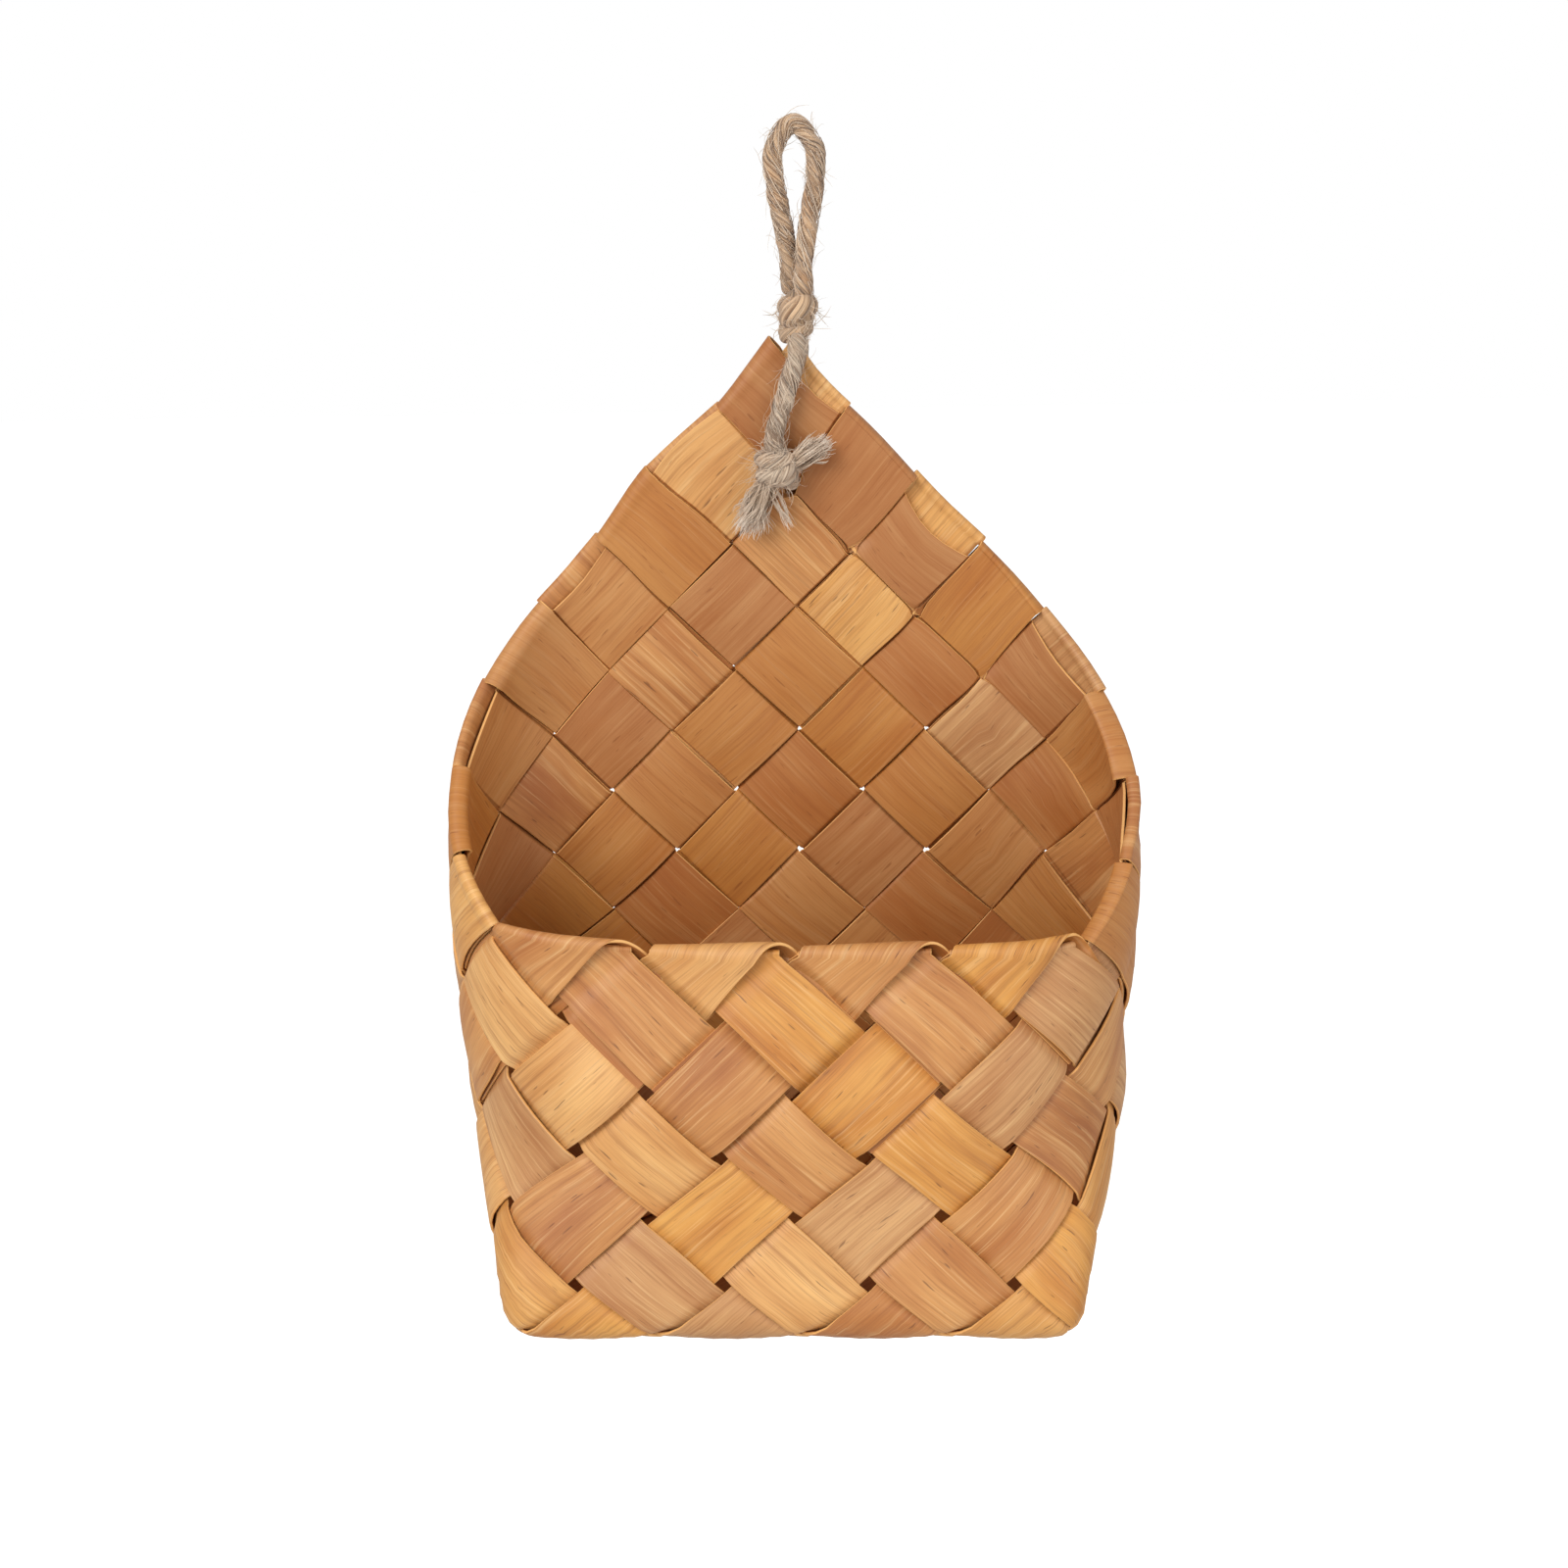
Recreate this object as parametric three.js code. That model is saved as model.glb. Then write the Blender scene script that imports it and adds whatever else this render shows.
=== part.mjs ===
// Wall basket plaited on the bias from twelve flat wood splints, with a jute hanging loop.
// Millimetres, +Z up, the open front looks along -Y. The origin is the top of the loop's
// bore, where a nail bears, and the basket hangs below it.
import * as THREE from 'three';

// The plait, as it lies unrolled
const PITCH = 28.6;
const SPLINT_WIDTH = 25.6;
const SPLINT_THICKNESS = 0.9;
const LAYER_GAP = 0.3;
const FRONT_CELLS = 4;
const SIDE_CELLS = 2;
const RIM_CELLS = 3;
const CREASE_LEVEL = 0.75;

// Folded edges: how far the folds stand past the sheet, and how much they spring open
const LEFT_OVERHANG = 4.2;
const RIGHT_OVERHANG = 1.6;
const RIM_OVERHANG = 0.3;
const LIP_RISE = 1.2;
const FOLD_SPRING = 0.8;
const ROLL_STEPS = 4;
const EDGE_TAIL_CROSSINGS = 3;

// The bowl: its depth and corner radii at the belly, the rim and the apex
const BASE_FILLET = 8;
const BASE_SET_FORWARD = 19;
const BASE_WALL_RADIUS = 20;
const BELLY_LEVEL = 1.5;
const BELLY_DEPTH = 88;
const BELLY_FRONT_RADIUS = 57;
const BELLY_BACK_RADIUS = 15;
const RIM_DEPTH = 73;
const RIM_RADIUS = 36;
const APEX_DEPTH = 80;
const BOWL_BLEND_LEVEL = 1.6;

// How far the plait is drawn out sideways, and how high a row of cells rises
const BELLY_SPREAD = 1.014;
const RIM_SPREAD = 1.03;
const BACK_SPREAD = 0.92;
const FRONT_ROW_RISE = 0.9;
const BACK_ROW_RISE = 0.936;

// The jute cord
const CORD_DIAMETER = 5.5;
const CORD_SIDES = 10;
const CORD_STEP = 4.4;
const CORD_GAP = 0.3;
const CORD_HOLE = 6;
const HOLE_REACH = 14;
const LOOP_LENGTH = 47.1;
const LOOP_HALF_WIDTH = 5.6;
const LOOP_FOOT_APART = 2;
const LOOP_FOOT_DEPTH = 2.1;
const LOOP_SHARES = [0, 0.12, 0.35, 0.65, 0.85];
const LOOP_TO_MIDDLE = 2.8;
const KNOT_LENGTH = 15.5;
const KNOT_HALF_WIDTH = 6.3;
const KNOT_HALF_DEPTH = 8.2;
const KNOT_TO_APEX = 1.8;
const KNOT_SIDES = 12;
const KNOT_STEPS = 8;
const KNOT_WAIST = 0.82;
const LOWER_KNOT_LENGTH = 13;
const LOWER_KNOT_RADIUS = 6;
const LOWER_KNOT_DROP = 1.3;
const LOWER_KNOT_TO_MIDDLE = -4.2;
const STRAIGHT_END = 2;
const TASSEL_LENGTH = 15;
const TASSEL_HALF_WIDTH = 8.5;
const TASSEL_HALF_DEPTH = 4.6;
const TASSEL_WAY = new THREE.Vector3(-0.4, -0.1, -0.9);
const STUB_STANDOFF = 1.9;
const STUB_LENGTH = 13;
const STUB_END_RADIUS = 4;
const STUB_WAY = new THREE.Vector3(0.74, -0.1, 0.66);

const CELL = PITCH * Math.SQRT2;
const AROUND = 2 * (FRONT_CELLS + SIDE_CELLS);
const HALF = SPLINT_WIDTH / PITCH / 2;
const LAYER_STEP = SPLINT_THICKNESS + LAYER_GAP;
const APEX_LEVEL = RIM_CELLS + SIDE_CELLS + FRONT_CELLS / 2;
const APEX_AROUND = FRONT_CELLS + SIDE_CELLS + FRONT_CELLS / 2;
const RIGHT_EDGE = FRONT_CELLS - RIM_CELLS;
const LEFT_EDGE = AROUND + RIM_CELLS;
const COLUMNS = [-HALF, 0, HALF];

const SPLINT_COLOURS = [0xd9a066, 0xcf9159, 0xdba873, 0xc98a58, 0xd69a62, 0xd3a27a];
const CORD_COLOUR = 0xb39877;
const WOOD_ROUGHNESS = 0.55;
const CORD_ROUGHNESS = 0.95;

// Sections of the bowl from the base up, which the levels between them follow smoothly
const LEVELS = [
  {
    v: 0,
    depth: SIDE_CELLS * CELL, front: BASE_WALL_RADIUS, back: BASE_WALL_RADIUS,
    wide: 1, narrow: 1,
  },
  {
    v: BELLY_LEVEL,
    depth: BELLY_DEPTH, front: BELLY_FRONT_RADIUS, back: BELLY_BACK_RADIUS,
    wide: BELLY_SPREAD, narrow: BELLY_SPREAD,
  },
  {
    v: RIM_CELLS,
    depth: RIM_DEPTH, front: RIM_RADIUS, back: RIM_RADIUS,
    wide: RIM_SPREAD, narrow: BACK_SPREAD,
  },
  {
    v: APEX_LEVEL,
    depth: APEX_DEPTH, front: RIM_RADIUS, back: RIM_RADIUS,
    wide: RIM_SPREAD, narrow: BACK_SPREAD,
  },
];

function clamp(value, low, high) {
  return Math.min(Math.max(value, low), high);
}

function smooth(t) {
  const s = clamp(t, 0, 1);
  return s * s * (3 - 2 * s);
}

function levelAt(v) {
  const above = LEVELS.findIndex((level) => level.v > v);
  const upper = above < 0 ? LEVELS.length - 1 : above;
  const low = LEVELS[upper - 1];
  const high = LEVELS[upper];
  const t = smooth((v - low.v) / (high.v - low.v));
  const mixed = {};
  for (const name of ['depth', 'front', 'back', 'wide', 'narrow']) {
    mixed[name] = low[name] + (high[name] - low[name]) * t;
  }
  return mixed;
}

// Signed distance round the wall from the middle of the back, in cells, towards +X
function fromBack(u) {
  const turn = APEX_AROUND - u;
  return turn - AROUND * Math.round(turn / AROUND);
}

// Point of the bowed wall at u cells round it and v cells up it
function bowedWall(u, v) {
  const { depth, front, back, wide, narrow } = levelAt(v);
  const side = fromBack(u);
  const run = Math.abs(side);
  const flat = FRONT_CELLS / 2;
  const between = (wide + narrow) / 2;
  const turn = flat + SIDE_CELLS;
  const cells = Math.min(run, flat) * narrow + clamp(run - flat, 0, SIDE_CELLS) * between
    + Math.max(run - turn, 0) * wide;
  const arc = cells * CELL;
  const half = (flat * (narrow + wide) + SIDE_CELLS * between) * CELL;
  const quarter = Math.PI / 2;
  const halfWidth = (half - depth + (2 - quarter) * (front + back)) / 2;
  const backEnd = halfWidth - back;
  const sideStart = backEnd + quarter * back;
  const sideEnd = sideStart + depth - back - front;
  const frontStart = sideEnd + quarter * front;
  const backTurn = clamp((arc - backEnd) / back, 0, quarter);
  const frontTurn = clamp((arc - sideEnd) / front, 0, quarter);
  const across = Math.min(arc, backEnd) + back * Math.sin(backTurn)
    - front * (1 - Math.cos(frontTurn)) - Math.max(arc - frontStart, 0);
  const forward = back * (1 - Math.cos(backTurn)) + clamp(arc - sideStart, 0, sideEnd - sideStart)
    + front * Math.sin(frontTurn);
  const frontShare = clamp((run - flat) / SIDE_CELLS, 0, 1);
  const rise = BACK_ROW_RISE + (FRONT_ROW_RISE - BACK_ROW_RISE) * frontShare;
  return new THREE.Vector3(Math.sign(side) * across, -forward, v * rise * CELL);
}

// Place on the sharp box that the sheet folds into, before its edges are rounded
function onBox(place) {
  const width = FRONT_CELLS / 2;
  if (place.u === undefined) {
    return new THREE.Vector3(place.x - width, place.y - SIDE_CELLS, 0).multiplyScalar(CELL);
  }
  const side = fromBack(place.u);
  const run = Math.abs(side);
  const across = run < width ? run : Math.min(width, AROUND / 2 - run);
  const forward = clamp(run - width, 0, SIDE_CELLS);
  return new THREE.Vector3(Math.sign(side) * across, -forward, place.v).multiplyScalar(CELL);
}

function roundedBox(corner) {
  const halfWidth = FRONT_CELLS / 2 * CELL;
  const inner = new THREE.Vector3(
    clamp(corner.x, BASE_FILLET - halfWidth, halfWidth - BASE_FILLET),
    clamp(corner.y, BASE_FILLET - SIDE_CELLS * CELL, -BASE_FILLET),
    Math.max(corner.z, BASE_FILLET),
  );
  const out = corner.clone().sub(inner);
  return inner.add(out.setLength(BASE_FILLET)).add(new THREE.Vector3(0, -BASE_SET_FORWARD, 0));
}

// The cord pushes the splints apart where it comes through the back
const CORD_LEVEL = APEX_LEVEL - 1;
const HOLE_CENTRE = bowedWall(APEX_AROUND, CORD_LEVEL);

function openHole(point) {
  const offset = point.clone().sub(HOLE_CENTRE);
  const distance = offset.length();
  if (distance >= HOLE_REACH || distance === 0) return point;
  const corner = (PITCH - SPLINT_WIDTH) * Math.SQRT1_2;
  const push = (CORD_HOLE * Math.SQRT1_2 - corner) / (1 - corner / HOLE_REACH) ** 2;
  return point.addScaledVector(offset, push * (1 - distance / HOLE_REACH) ** 2 / distance);
}

function surfacePoint(place) {
  const box = roundedBox(onBox(place));
  if (place.u === undefined) return box;
  const wall = openHole(bowedWall(place.u, place.v));
  return box.lerp(wall, smooth(place.v / BOWL_BLEND_LEVEL));
}

// A line number, or a place round the wall, brought into the turn that starts at low
function wrapLine(value, low) {
  return value - AROUND * Math.floor((value - low) / AROUND);
}

// Place on the base of a point on the wall sheet that runs on below the base edge
function unfoldOnBase(foot, u, v) {
  if (foot > AROUND - SIDE_CELLS) return [-v, AROUND - u];
  if (foot > FRONT_CELLS + SIDE_CELLS) return [AROUND - SIDE_CELLS - u, SIDE_CELLS + v];
  if (foot > FRONT_CELLS) return [FRONT_CELLS + v, u - FRONT_CELLS];
  return [u, -v];
}

// The side of the base that a splint climbs again, once it has crossed the base
function climbSide(splint) {
  const foot = wrapLine(splint.line, 0);
  const lean = splint.family === 'A' ? -1 : 1;
  const [x, y] = unfoldOnBase(foot, foot, 0);
  const [nextX, nextY] = unfoldOnBase(foot, foot + lean, -1);
  const toEnd = nextX > x ? FRONT_CELLS - x : x;
  const toFace = nextY > y ? SIDE_CELLS - y : y;
  if (toEnd < toFace) return nextX > x ? 'right' : 'left';
  return nextY > y ? 'back' : 'front';
}

// A splint starts at its first end, runs down a wall, across the base and up another wall.
// t counts crossings along it and w lies across it. Family A climbs to the right, B to the left.
function placeOn(splint, t, w) {
  const sum = splint.family === 'A' ? -t : splint.line + w;
  const difference = splint.family === 'A' ? splint.line + w : t;
  const u = (sum + difference) / 2;
  const v = (sum - difference) / 2;
  if (v >= 0) return { u, v };
  const foot = wrapLine(splint.line, 0);
  const [x, y] = unfoldOnBase(foot, u + foot - splint.line, v);
  if (splint.climbs === 'left' && x < 0) return { u: AROUND - y, v: -x };
  if (splint.climbs === 'right' && x > FRONT_CELLS) return { u: FRONT_CELLS + y, v: x - FRONT_CELLS };
  if (splint.climbs === 'front' && y < 0) return { u: x, v: -y };
  if (splint.climbs === 'back' && y > SIDE_CELLS) return { u: AROUND - SIDE_CELLS - x, v: y - SIDE_CELLS };
  return { x, y };
}

const PROBE = 0.01;

// Family and line of a splint where it crosses another at t
function courseAt(splint, t) {
  const here = placeOn(splint, t, 0);
  const before = placeOn(splint, t - PROBE, 0);
  if (here.u === undefined) {
    const family = Math.sign(before.x - here.x) === Math.sign(before.y - here.y) ? 'difference' : 'sum';
    return { family, here };
  }
  const next = placeOn(splint, t + PROBE, 0);
  const rising = next.u !== undefined && next.v > here.v;
  const other = rising ? next : before;
  const family = Math.sign(other.u - here.u) === Math.sign(other.v - here.v) ? 'A' : 'B';
  return { family, here, rising };
}

// Line numbers of the two splints that cross at a place on the wall
function linesAt(here) {
  const rounded = (value) => Math.round(value * 2) / 2;
  return {
    k: wrapLine(rounded(here.u - here.v), -RIM_CELLS),
    m: wrapLine(rounded(here.u + here.v), RIM_CELLS),
    v: rounded(here.v),
  };
}

function endsAtRim(family, line) {
  return family === 'A' ? line < RIGHT_EDGE : line < FRONT_CELLS + RIM_CELLS;
}

// Level of the last crossing that a splint makes on its way up a wall
function topLevel(family, line) {
  if (endsAtRim(family, line)) return RIM_CELLS;
  return family === 'A' ? (LEFT_EDGE - 0.5 - line) / 2 : (line - RIGHT_EDGE - 0.5) / 2;
}

// Where a folded tail lies beside the splint that it follows: in or out of it, or wrapped
// round the whole crossing. Capital letters are splints and small letters their tails.
function tailBeside(family, line, v) {
  if (endsAtRim(family, line)) {
    const tucked = v === RIM_CELLS - 0.5 || (family === 'A' && v === RIM_CELLS - 1);
    return tucked ? { name: family === 'A' ? 'b' : 'a', side: 'in' } : null;
  }
  const top = topLevel(family, line);
  const crossing = (top - v) * 2;
  if (crossing < 0 || crossing >= EDGE_TAIL_CROSSINGS) return null;
  const outermost = Number.isInteger(top) === (family === 'A');
  const name = family.toLowerCase();
  if (outermost) return { name, side: 'in' };
  return { name, side: crossing === 0 ? 'wrap' : 'out' };
}

// The layers of a crossing on the wall, from the outside in
function wallLayers(here) {
  const { k, m, v } = linesAt(here);
  if (v === RIM_CELLS && endsAtRim('A', k)) return ['A', 'B', 'b', 'a'];
  const order = Number.isInteger(v) ? ['A', 'B'] : ['B', 'A'];
  const layers = [];
  for (const family of order) {
    const tail = tailBeside(family, family === 'A' ? k : m, v);
    if (tail && tail.side === 'out') layers.push(tail.name);
    layers.push(family);
    if (tail && tail.side === 'in') layers.push(tail.name);
    if (tail && tail.side === 'wrap') layers.unshift(tail.name);
  }
  return layers;
}

function baseLayers(here) {
  const sumOutside = Math.round(here.y * 2) % 2 === 0;
  return sumOutside ? ['sum', 'difference'] : ['difference', 'sum'];
}

// Height of a layer over the middle of the sheet, outwards
function heightOf(name, here) {
  const layers = here.u === undefined ? baseLayers(here) : wallLayers(here);
  return ((layers.length - 1) / 2 - layers.indexOf(name)) * LAYER_STEP;
}

const STEP = 1e-3;

// Point, outward normal and the two tangents of the sheet under a splint
function frameAt(place) {
  const towards = (t, w) => surfacePoint(place(t, w));
  const along = towards(STEP, 0).sub(towards(-STEP, 0)).normalize();
  const across = towards(0, STEP).sub(towards(0, -STEP)).normalize();
  const normal = new THREE.Vector3().crossVectors(along, across).normalize();
  return { point: towards(0, 0), box: onBox(place(0, 0)), along, normal };
}

// One point of a splint's middle surface, with the way that its thickness faces
function station(frame, height, facing) {
  return {
    point: frame.point.clone().addScaledVector(frame.normal, height),
    facing: frame.normal.clone().multiplyScalar(facing),
    box: frame.box,
  };
}

function mirroredAtRim(place) {
  return { u: place.u, v: 2 * RIM_CELLS - place.v };
}

// Half turn of a splint round an edge, from its tail's height to its own
function rollRows(frames, outwards, tailHeight, ownHeight, reaches) {
  const rows = [];
  const middle = (tailHeight + ownHeight) / 2;
  const radius = (ownHeight - tailHeight) / 2;
  for (let step = 0; step <= ROLL_STEPS; step += 1) {
    const angle = Math.PI * (1 - step / ROLL_STEPS);
    rows.push(frames.map((frame, column) => {
      const out = outwards[column];
      const reach = reaches[column];
      return {
        point: frame.point.clone()
          .addScaledVector(frame.normal, middle + radius * Math.cos(angle))
          .addScaledVector(out, reach * Math.sin(angle)),
        facing: frame.normal.clone().multiplyScalar(reach * Math.cos(angle))
          .addScaledVector(out, radius * Math.sin(angle)).normalize(),
        box: frame.box,
      };
    }));
  }
  return rows;
}

// A fold springs open, away from the other layers, where nothing lies over it
function sprungHeight(name, here) {
  const layers = wallLayers(here);
  const outwards = layers[0] === name ? FOLD_SPRING : 0;
  const inwards = layers[layers.length - 1] === name ? FOLD_SPRING : 0;
  return heightOf(name, here) + outwards - inwards;
}

// Rows of one end of a splint, from the tip of its tail inwards to its first crossing.
// inward is +1 at the end where the splint starts and -1 at its other end.
function endRows(splint, end, inward) {
  const { family, here } = courseAt(splint, end);
  const { k, m } = linesAt(here);
  const atRim = endsAtRim(family, family === 'A' ? k : m);
  const tailName = family.toLowerCase();
  const place = (depth, w) => placeOn(splint, end + inward * depth, w);
  const frame = (lookup, depth, w) => orient(frameAt((t, s) => lookup(depth + t * inward, w + s)));
  const rows = [];
  const ownHeight = heightOf(family, here);
  const tailHeight = heightOf(tailName, here);
  if (!atRim) {
    for (let crossing = EDGE_TAIL_CROSSINGS - 1; crossing >= 0; crossing -= 1) {
      const height = heightOf(tailName, place(crossing, 0));
      for (const depth of [...COLUMNS].reverse()) {
        rows.push(COLUMNS.map((w) => station(frame(place, crossing + depth, w), height, -1)));
      }
    }
    rows.pop();
    const edge = COLUMNS.map((w) => frame(place, -HALF, w));
    const outwards = edge.map((item) => item.along.clone().multiplyScalar(-inward));
    const reaches = COLUMNS.map(() => (family === 'A' ? LEFT_OVERHANG : RIGHT_OVERHANG));
    const tailSprung = sprungHeight(tailName, here);
    const ownSprung = sprungHeight(family, here);
    rows.push(edge.map((item) => station(item, tailSprung, -1)));
    rows.push(...rollRows(edge, outwards, tailSprung, ownSprung, reaches));
    rows.push(edge.map((item) => station(item, ownSprung, 1)));
    for (const depth of COLUMNS.slice(1)) {
      rows.push(COLUMNS.map((w) => station(frame(place, depth, w), ownHeight, 1)));
    }
    return rows;
  }
  // At the rim the fold runs at 45 degrees across the splint, so each column folds at its own depth
  const slant = place(0, HALF).v < RIM_CELLS ? 1 : -1;
  const folded = (depth, w) => mirroredAtRim(place(depth, w));
  const tailCrossings = family === 'A' ? 1 : 2;
  for (let crossing = tailCrossings; crossing > 0; crossing -= 1) {
    const height = heightOf(tailName, folded(-crossing, 0));
    for (const depth of COLUMNS) {
      rows.push(COLUMNS.map((w) => station(frame(folded, depth - crossing, w), height, -1)));
    }
  }
  for (const depth of COLUMNS) {
    rows.push(COLUMNS.map((w) => (
      station(frame(folded, Math.min(depth, -slant * w), w), tailHeight, -1))));
  }
  const fold = COLUMNS.map((w) => frame(place, -slant * w, w));
  const up = COLUMNS.map((w) => {
    const at = place(-slant * w, w);
    const lower = surfacePoint({ u: at.u, v: at.v - STEP });
    return surfacePoint({ u: at.u, v: at.v + STEP }).sub(lower).normalize();
  });
  const reaches = COLUMNS.map((w) => {
    const rise = family === 'A' ? LIP_RISE * (w + HALF) / (2 * HALF) : 0;
    return RIM_OVERHANG + rise + Math.abs(ownHeight - tailHeight) / 2;
  });
  rows.push(...rollRows(fold, up, tailHeight, ownHeight, reaches));
  for (const depth of COLUMNS) {
    rows.push(COLUMNS.map((w) => (
      station(frame(place, Math.max(depth, -slant * w), w), ownHeight, 1))));
  }
  return rows;
}

const INSIDE = new THREE.Vector3(0, -RIM_DEPTH / 2, RIM_CELLS * CELL / 2);

// The normal of a frame, turned so that it leaves the basket
function orient(frame) {
  const away = frame.point.clone().sub(INSIDE);
  if (frame.normal.dot(away) < 0) frame.normal.negate();
  return frame;
}

function firstCrossing(family, line) {
  if (family === 'A') return endsAtRim('A', line) ? -(line + 2 * RIM_CELLS) : 0.5 - LEFT_EDGE;
  return endsAtRim('B', line) ? line - 2 * RIM_CELLS : RIGHT_EDGE + 0.5;
}

function isLastCrossing(course) {
  if (!course.rising) return false;
  const { k, m, v } = linesAt(course.here);
  return v === topLevel(course.family, course.family === 'A' ? k : m);
}

// Whole splint: its folded first end, every crossing on the way, and its folded last end
function splintRows(splint) {
  const start = firstCrossing(splint.family, splint.line);
  const rows = endRows(splint, start, 1);
  let t = start + 1;
  let course = courseAt(splint, t);
  while (!isLastCrossing(course)) {
    const height = heightOf(course.family, course.here);
    for (const depth of COLUMNS) {
      const at = t + depth;
      rows.push(COLUMNS.map((w) => {
        const frame = frameAt((step, aside) => placeOn(splint, at + step, w + aside));
        return station(orient(frame), height, 1);
      }));
    }
    t += 1;
    course = courseAt(splint, t);
  }
  const lines = linesAt(course.here);
  splint.farEnd = `${course.family}${course.family === 'A' ? lines.k : lines.m}`;
  rows.push(...endRows(splint, t, -1).reverse());
  return rows;
}

// The way that the sheet bends least under a facet, so that every layer creases alike
function creaseAxis(corners) {
  const centre = new THREE.Vector3();
  for (const item of corners) centre.addScaledVector(item.box, 1 / corners.length);
  if (centre.z > CREASE_LEVEL * CELL) return new THREE.Vector3(0, 0, 1);
  const fromEnds = FRONT_CELLS / 2 * CELL - Math.abs(centre.x);
  const fromFaces = SIDE_CELLS / 2 * CELL - Math.abs(centre.y + SIDE_CELLS / 2 * CELL);
  return fromFaces < fromEnds ? new THREE.Vector3(1, 0, 0) : new THREE.Vector3(0, 1, 0);
}

function firstDiagonalIsCrease(corners) {
  const axis = creaseAxis(corners);
  const first = corners[2].box.clone().sub(corners[0].box).normalize();
  const second = corners[3].box.clone().sub(corners[1].box).normalize();
  return Math.abs(first.dot(axis)) >= Math.abs(second.dot(axis));
}

const MERGE_STEPS = 1e4;

// Closed body of a splint from its rows, one thickness deep
function solidFromRows(rows) {
  const positions = [];
  const known = new Map();
  const triangles = [];
  const vertex = (item, side) => {
    const point = item.point.clone().addScaledVector(item.facing, side * SPLINT_THICKNESS / 2);
    const key = point.toArray().map((value) => Math.round(value * MERGE_STEPS)).join(' ');
    if (!known.has(key)) {
      known.set(key, positions.length / 3);
      positions.push(point.x, point.y, point.z);
    }
    return known.get(key);
  };
  const triangle = (a, b, c) => {
    if (a !== b && b !== c && c !== a) triangles.push(a, b, c);
  };
  const quad = (a, b, c, d) => {
    triangle(a, b, c);
    triangle(a, c, d);
  };
  const last = COLUMNS.length - 1;
  for (let row = 0; row + 1 < rows.length; row += 1) {
    for (let column = 0; column < last; column += 1) {
      const [near, far] = [rows[row], rows[row + 1]];
      const items = [near[column], far[column], far[column + 1], near[column + 1]];
      const [a, b, c, d] = firstDiagonalIsCrease(items) ? items : [...items.slice(1), items[0]];
      quad(vertex(a, 1), vertex(b, 1), vertex(c, 1), vertex(d, 1));
      quad(vertex(a, -1), vertex(d, -1), vertex(c, -1), vertex(b, -1));
    }
    const [left, leftNext] = [rows[row][0], rows[row + 1][0]];
    const [right, rightNext] = [rows[row][last], rows[row + 1][last]];
    quad(vertex(left, 1), vertex(left, -1), vertex(leftNext, -1), vertex(leftNext, 1));
    quad(vertex(right, 1), vertex(rightNext, 1), vertex(rightNext, -1), vertex(right, -1));
  }
  for (let column = 0; column < last; column += 1) {
    const head = rows[0].slice(column, column + 2);
    const foot = rows[rows.length - 1].slice(column, column + 2);
    quad(vertex(head[0], 1), vertex(head[1], 1), vertex(head[1], -1), vertex(head[0], -1));
    quad(vertex(foot[0], 1), vertex(foot[0], -1), vertex(foot[1], -1), vertex(foot[1], 1));
  }
  return outwardFacing(positions, triangles);
}

// Geometry with its faces turned so that its volume counts as positive
function outwardFacing(positions, triangles) {
  const corner = (index) => new THREE.Vector3().fromArray(positions, index * 3);
  let volume = 0;
  for (let at = 0; at < triangles.length; at += 3) {
    const [a, b, c] = [corner(triangles[at]), corner(triangles[at + 1]), corner(triangles[at + 2])];
    volume += a.dot(b.cross(c));
  }
  const geometry = new THREE.BufferGeometry();
  geometry.setAttribute('position', new THREE.Float32BufferAttribute(positions, 3));
  geometry.setIndex(volume < 0 ? [...triangles].reverse() : triangles);
  return geometry;
}

function addMesh(group, name, geometry, colour, roughness) {
  const material = new THREE.MeshStandardMaterial({ color: colour, roughness, metalness: 0 });
  const mesh = new THREE.Mesh(geometry, material);
  mesh.name = name;
  group.add(mesh);
  return mesh;
}

// Every line of the plait belongs to one splint, which joins it to the line of its far end
function addSplints(group) {
  const taken = new Set();
  const lines = [];
  for (const [family, low] of [['A', -RIM_CELLS], ['B', RIM_CELLS]]) {
    for (let step = 0; step < AROUND; step += 1) lines.push({ family, line: low + step + 0.5 });
  }
  let count = 0;
  for (const splint of lines) {
    if (taken.has(`${splint.family}${splint.line}`)) continue;
    splint.climbs = climbSide(splint);
    const geometry = solidFromRows(splintRows(splint));
    taken.add(splint.farEnd);
    count += 1;
    const colour = SPLINT_COLOURS[count % SPLINT_COLOURS.length];
    addMesh(group, `splint_${String(count).padStart(2, '0')}`, geometry, colour, WOOD_ROUGHNESS);
  }
}

// A round cord along a smooth curve through hand-picked points
function cordGeometry(points) {
  const curve = new THREE.CatmullRomCurve3(points, false, 'centripetal');
  const section = new THREE.Shape();
  for (let side = 0; side < CORD_SIDES; side += 1) {
    const angle = 2 * Math.PI * side / CORD_SIDES;
    const method = side === 0 ? 'moveTo' : 'lineTo';
    section[method](Math.cos(angle) * CORD_DIAMETER / 2, Math.sin(angle) * CORD_DIAMETER / 2);
  }
  const steps = Math.ceil(curve.getLength() / CORD_STEP);
  return new THREE.ExtrudeGeometry(section, { steps, bevelEnabled: false, extrudePath: curve });
}

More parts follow.
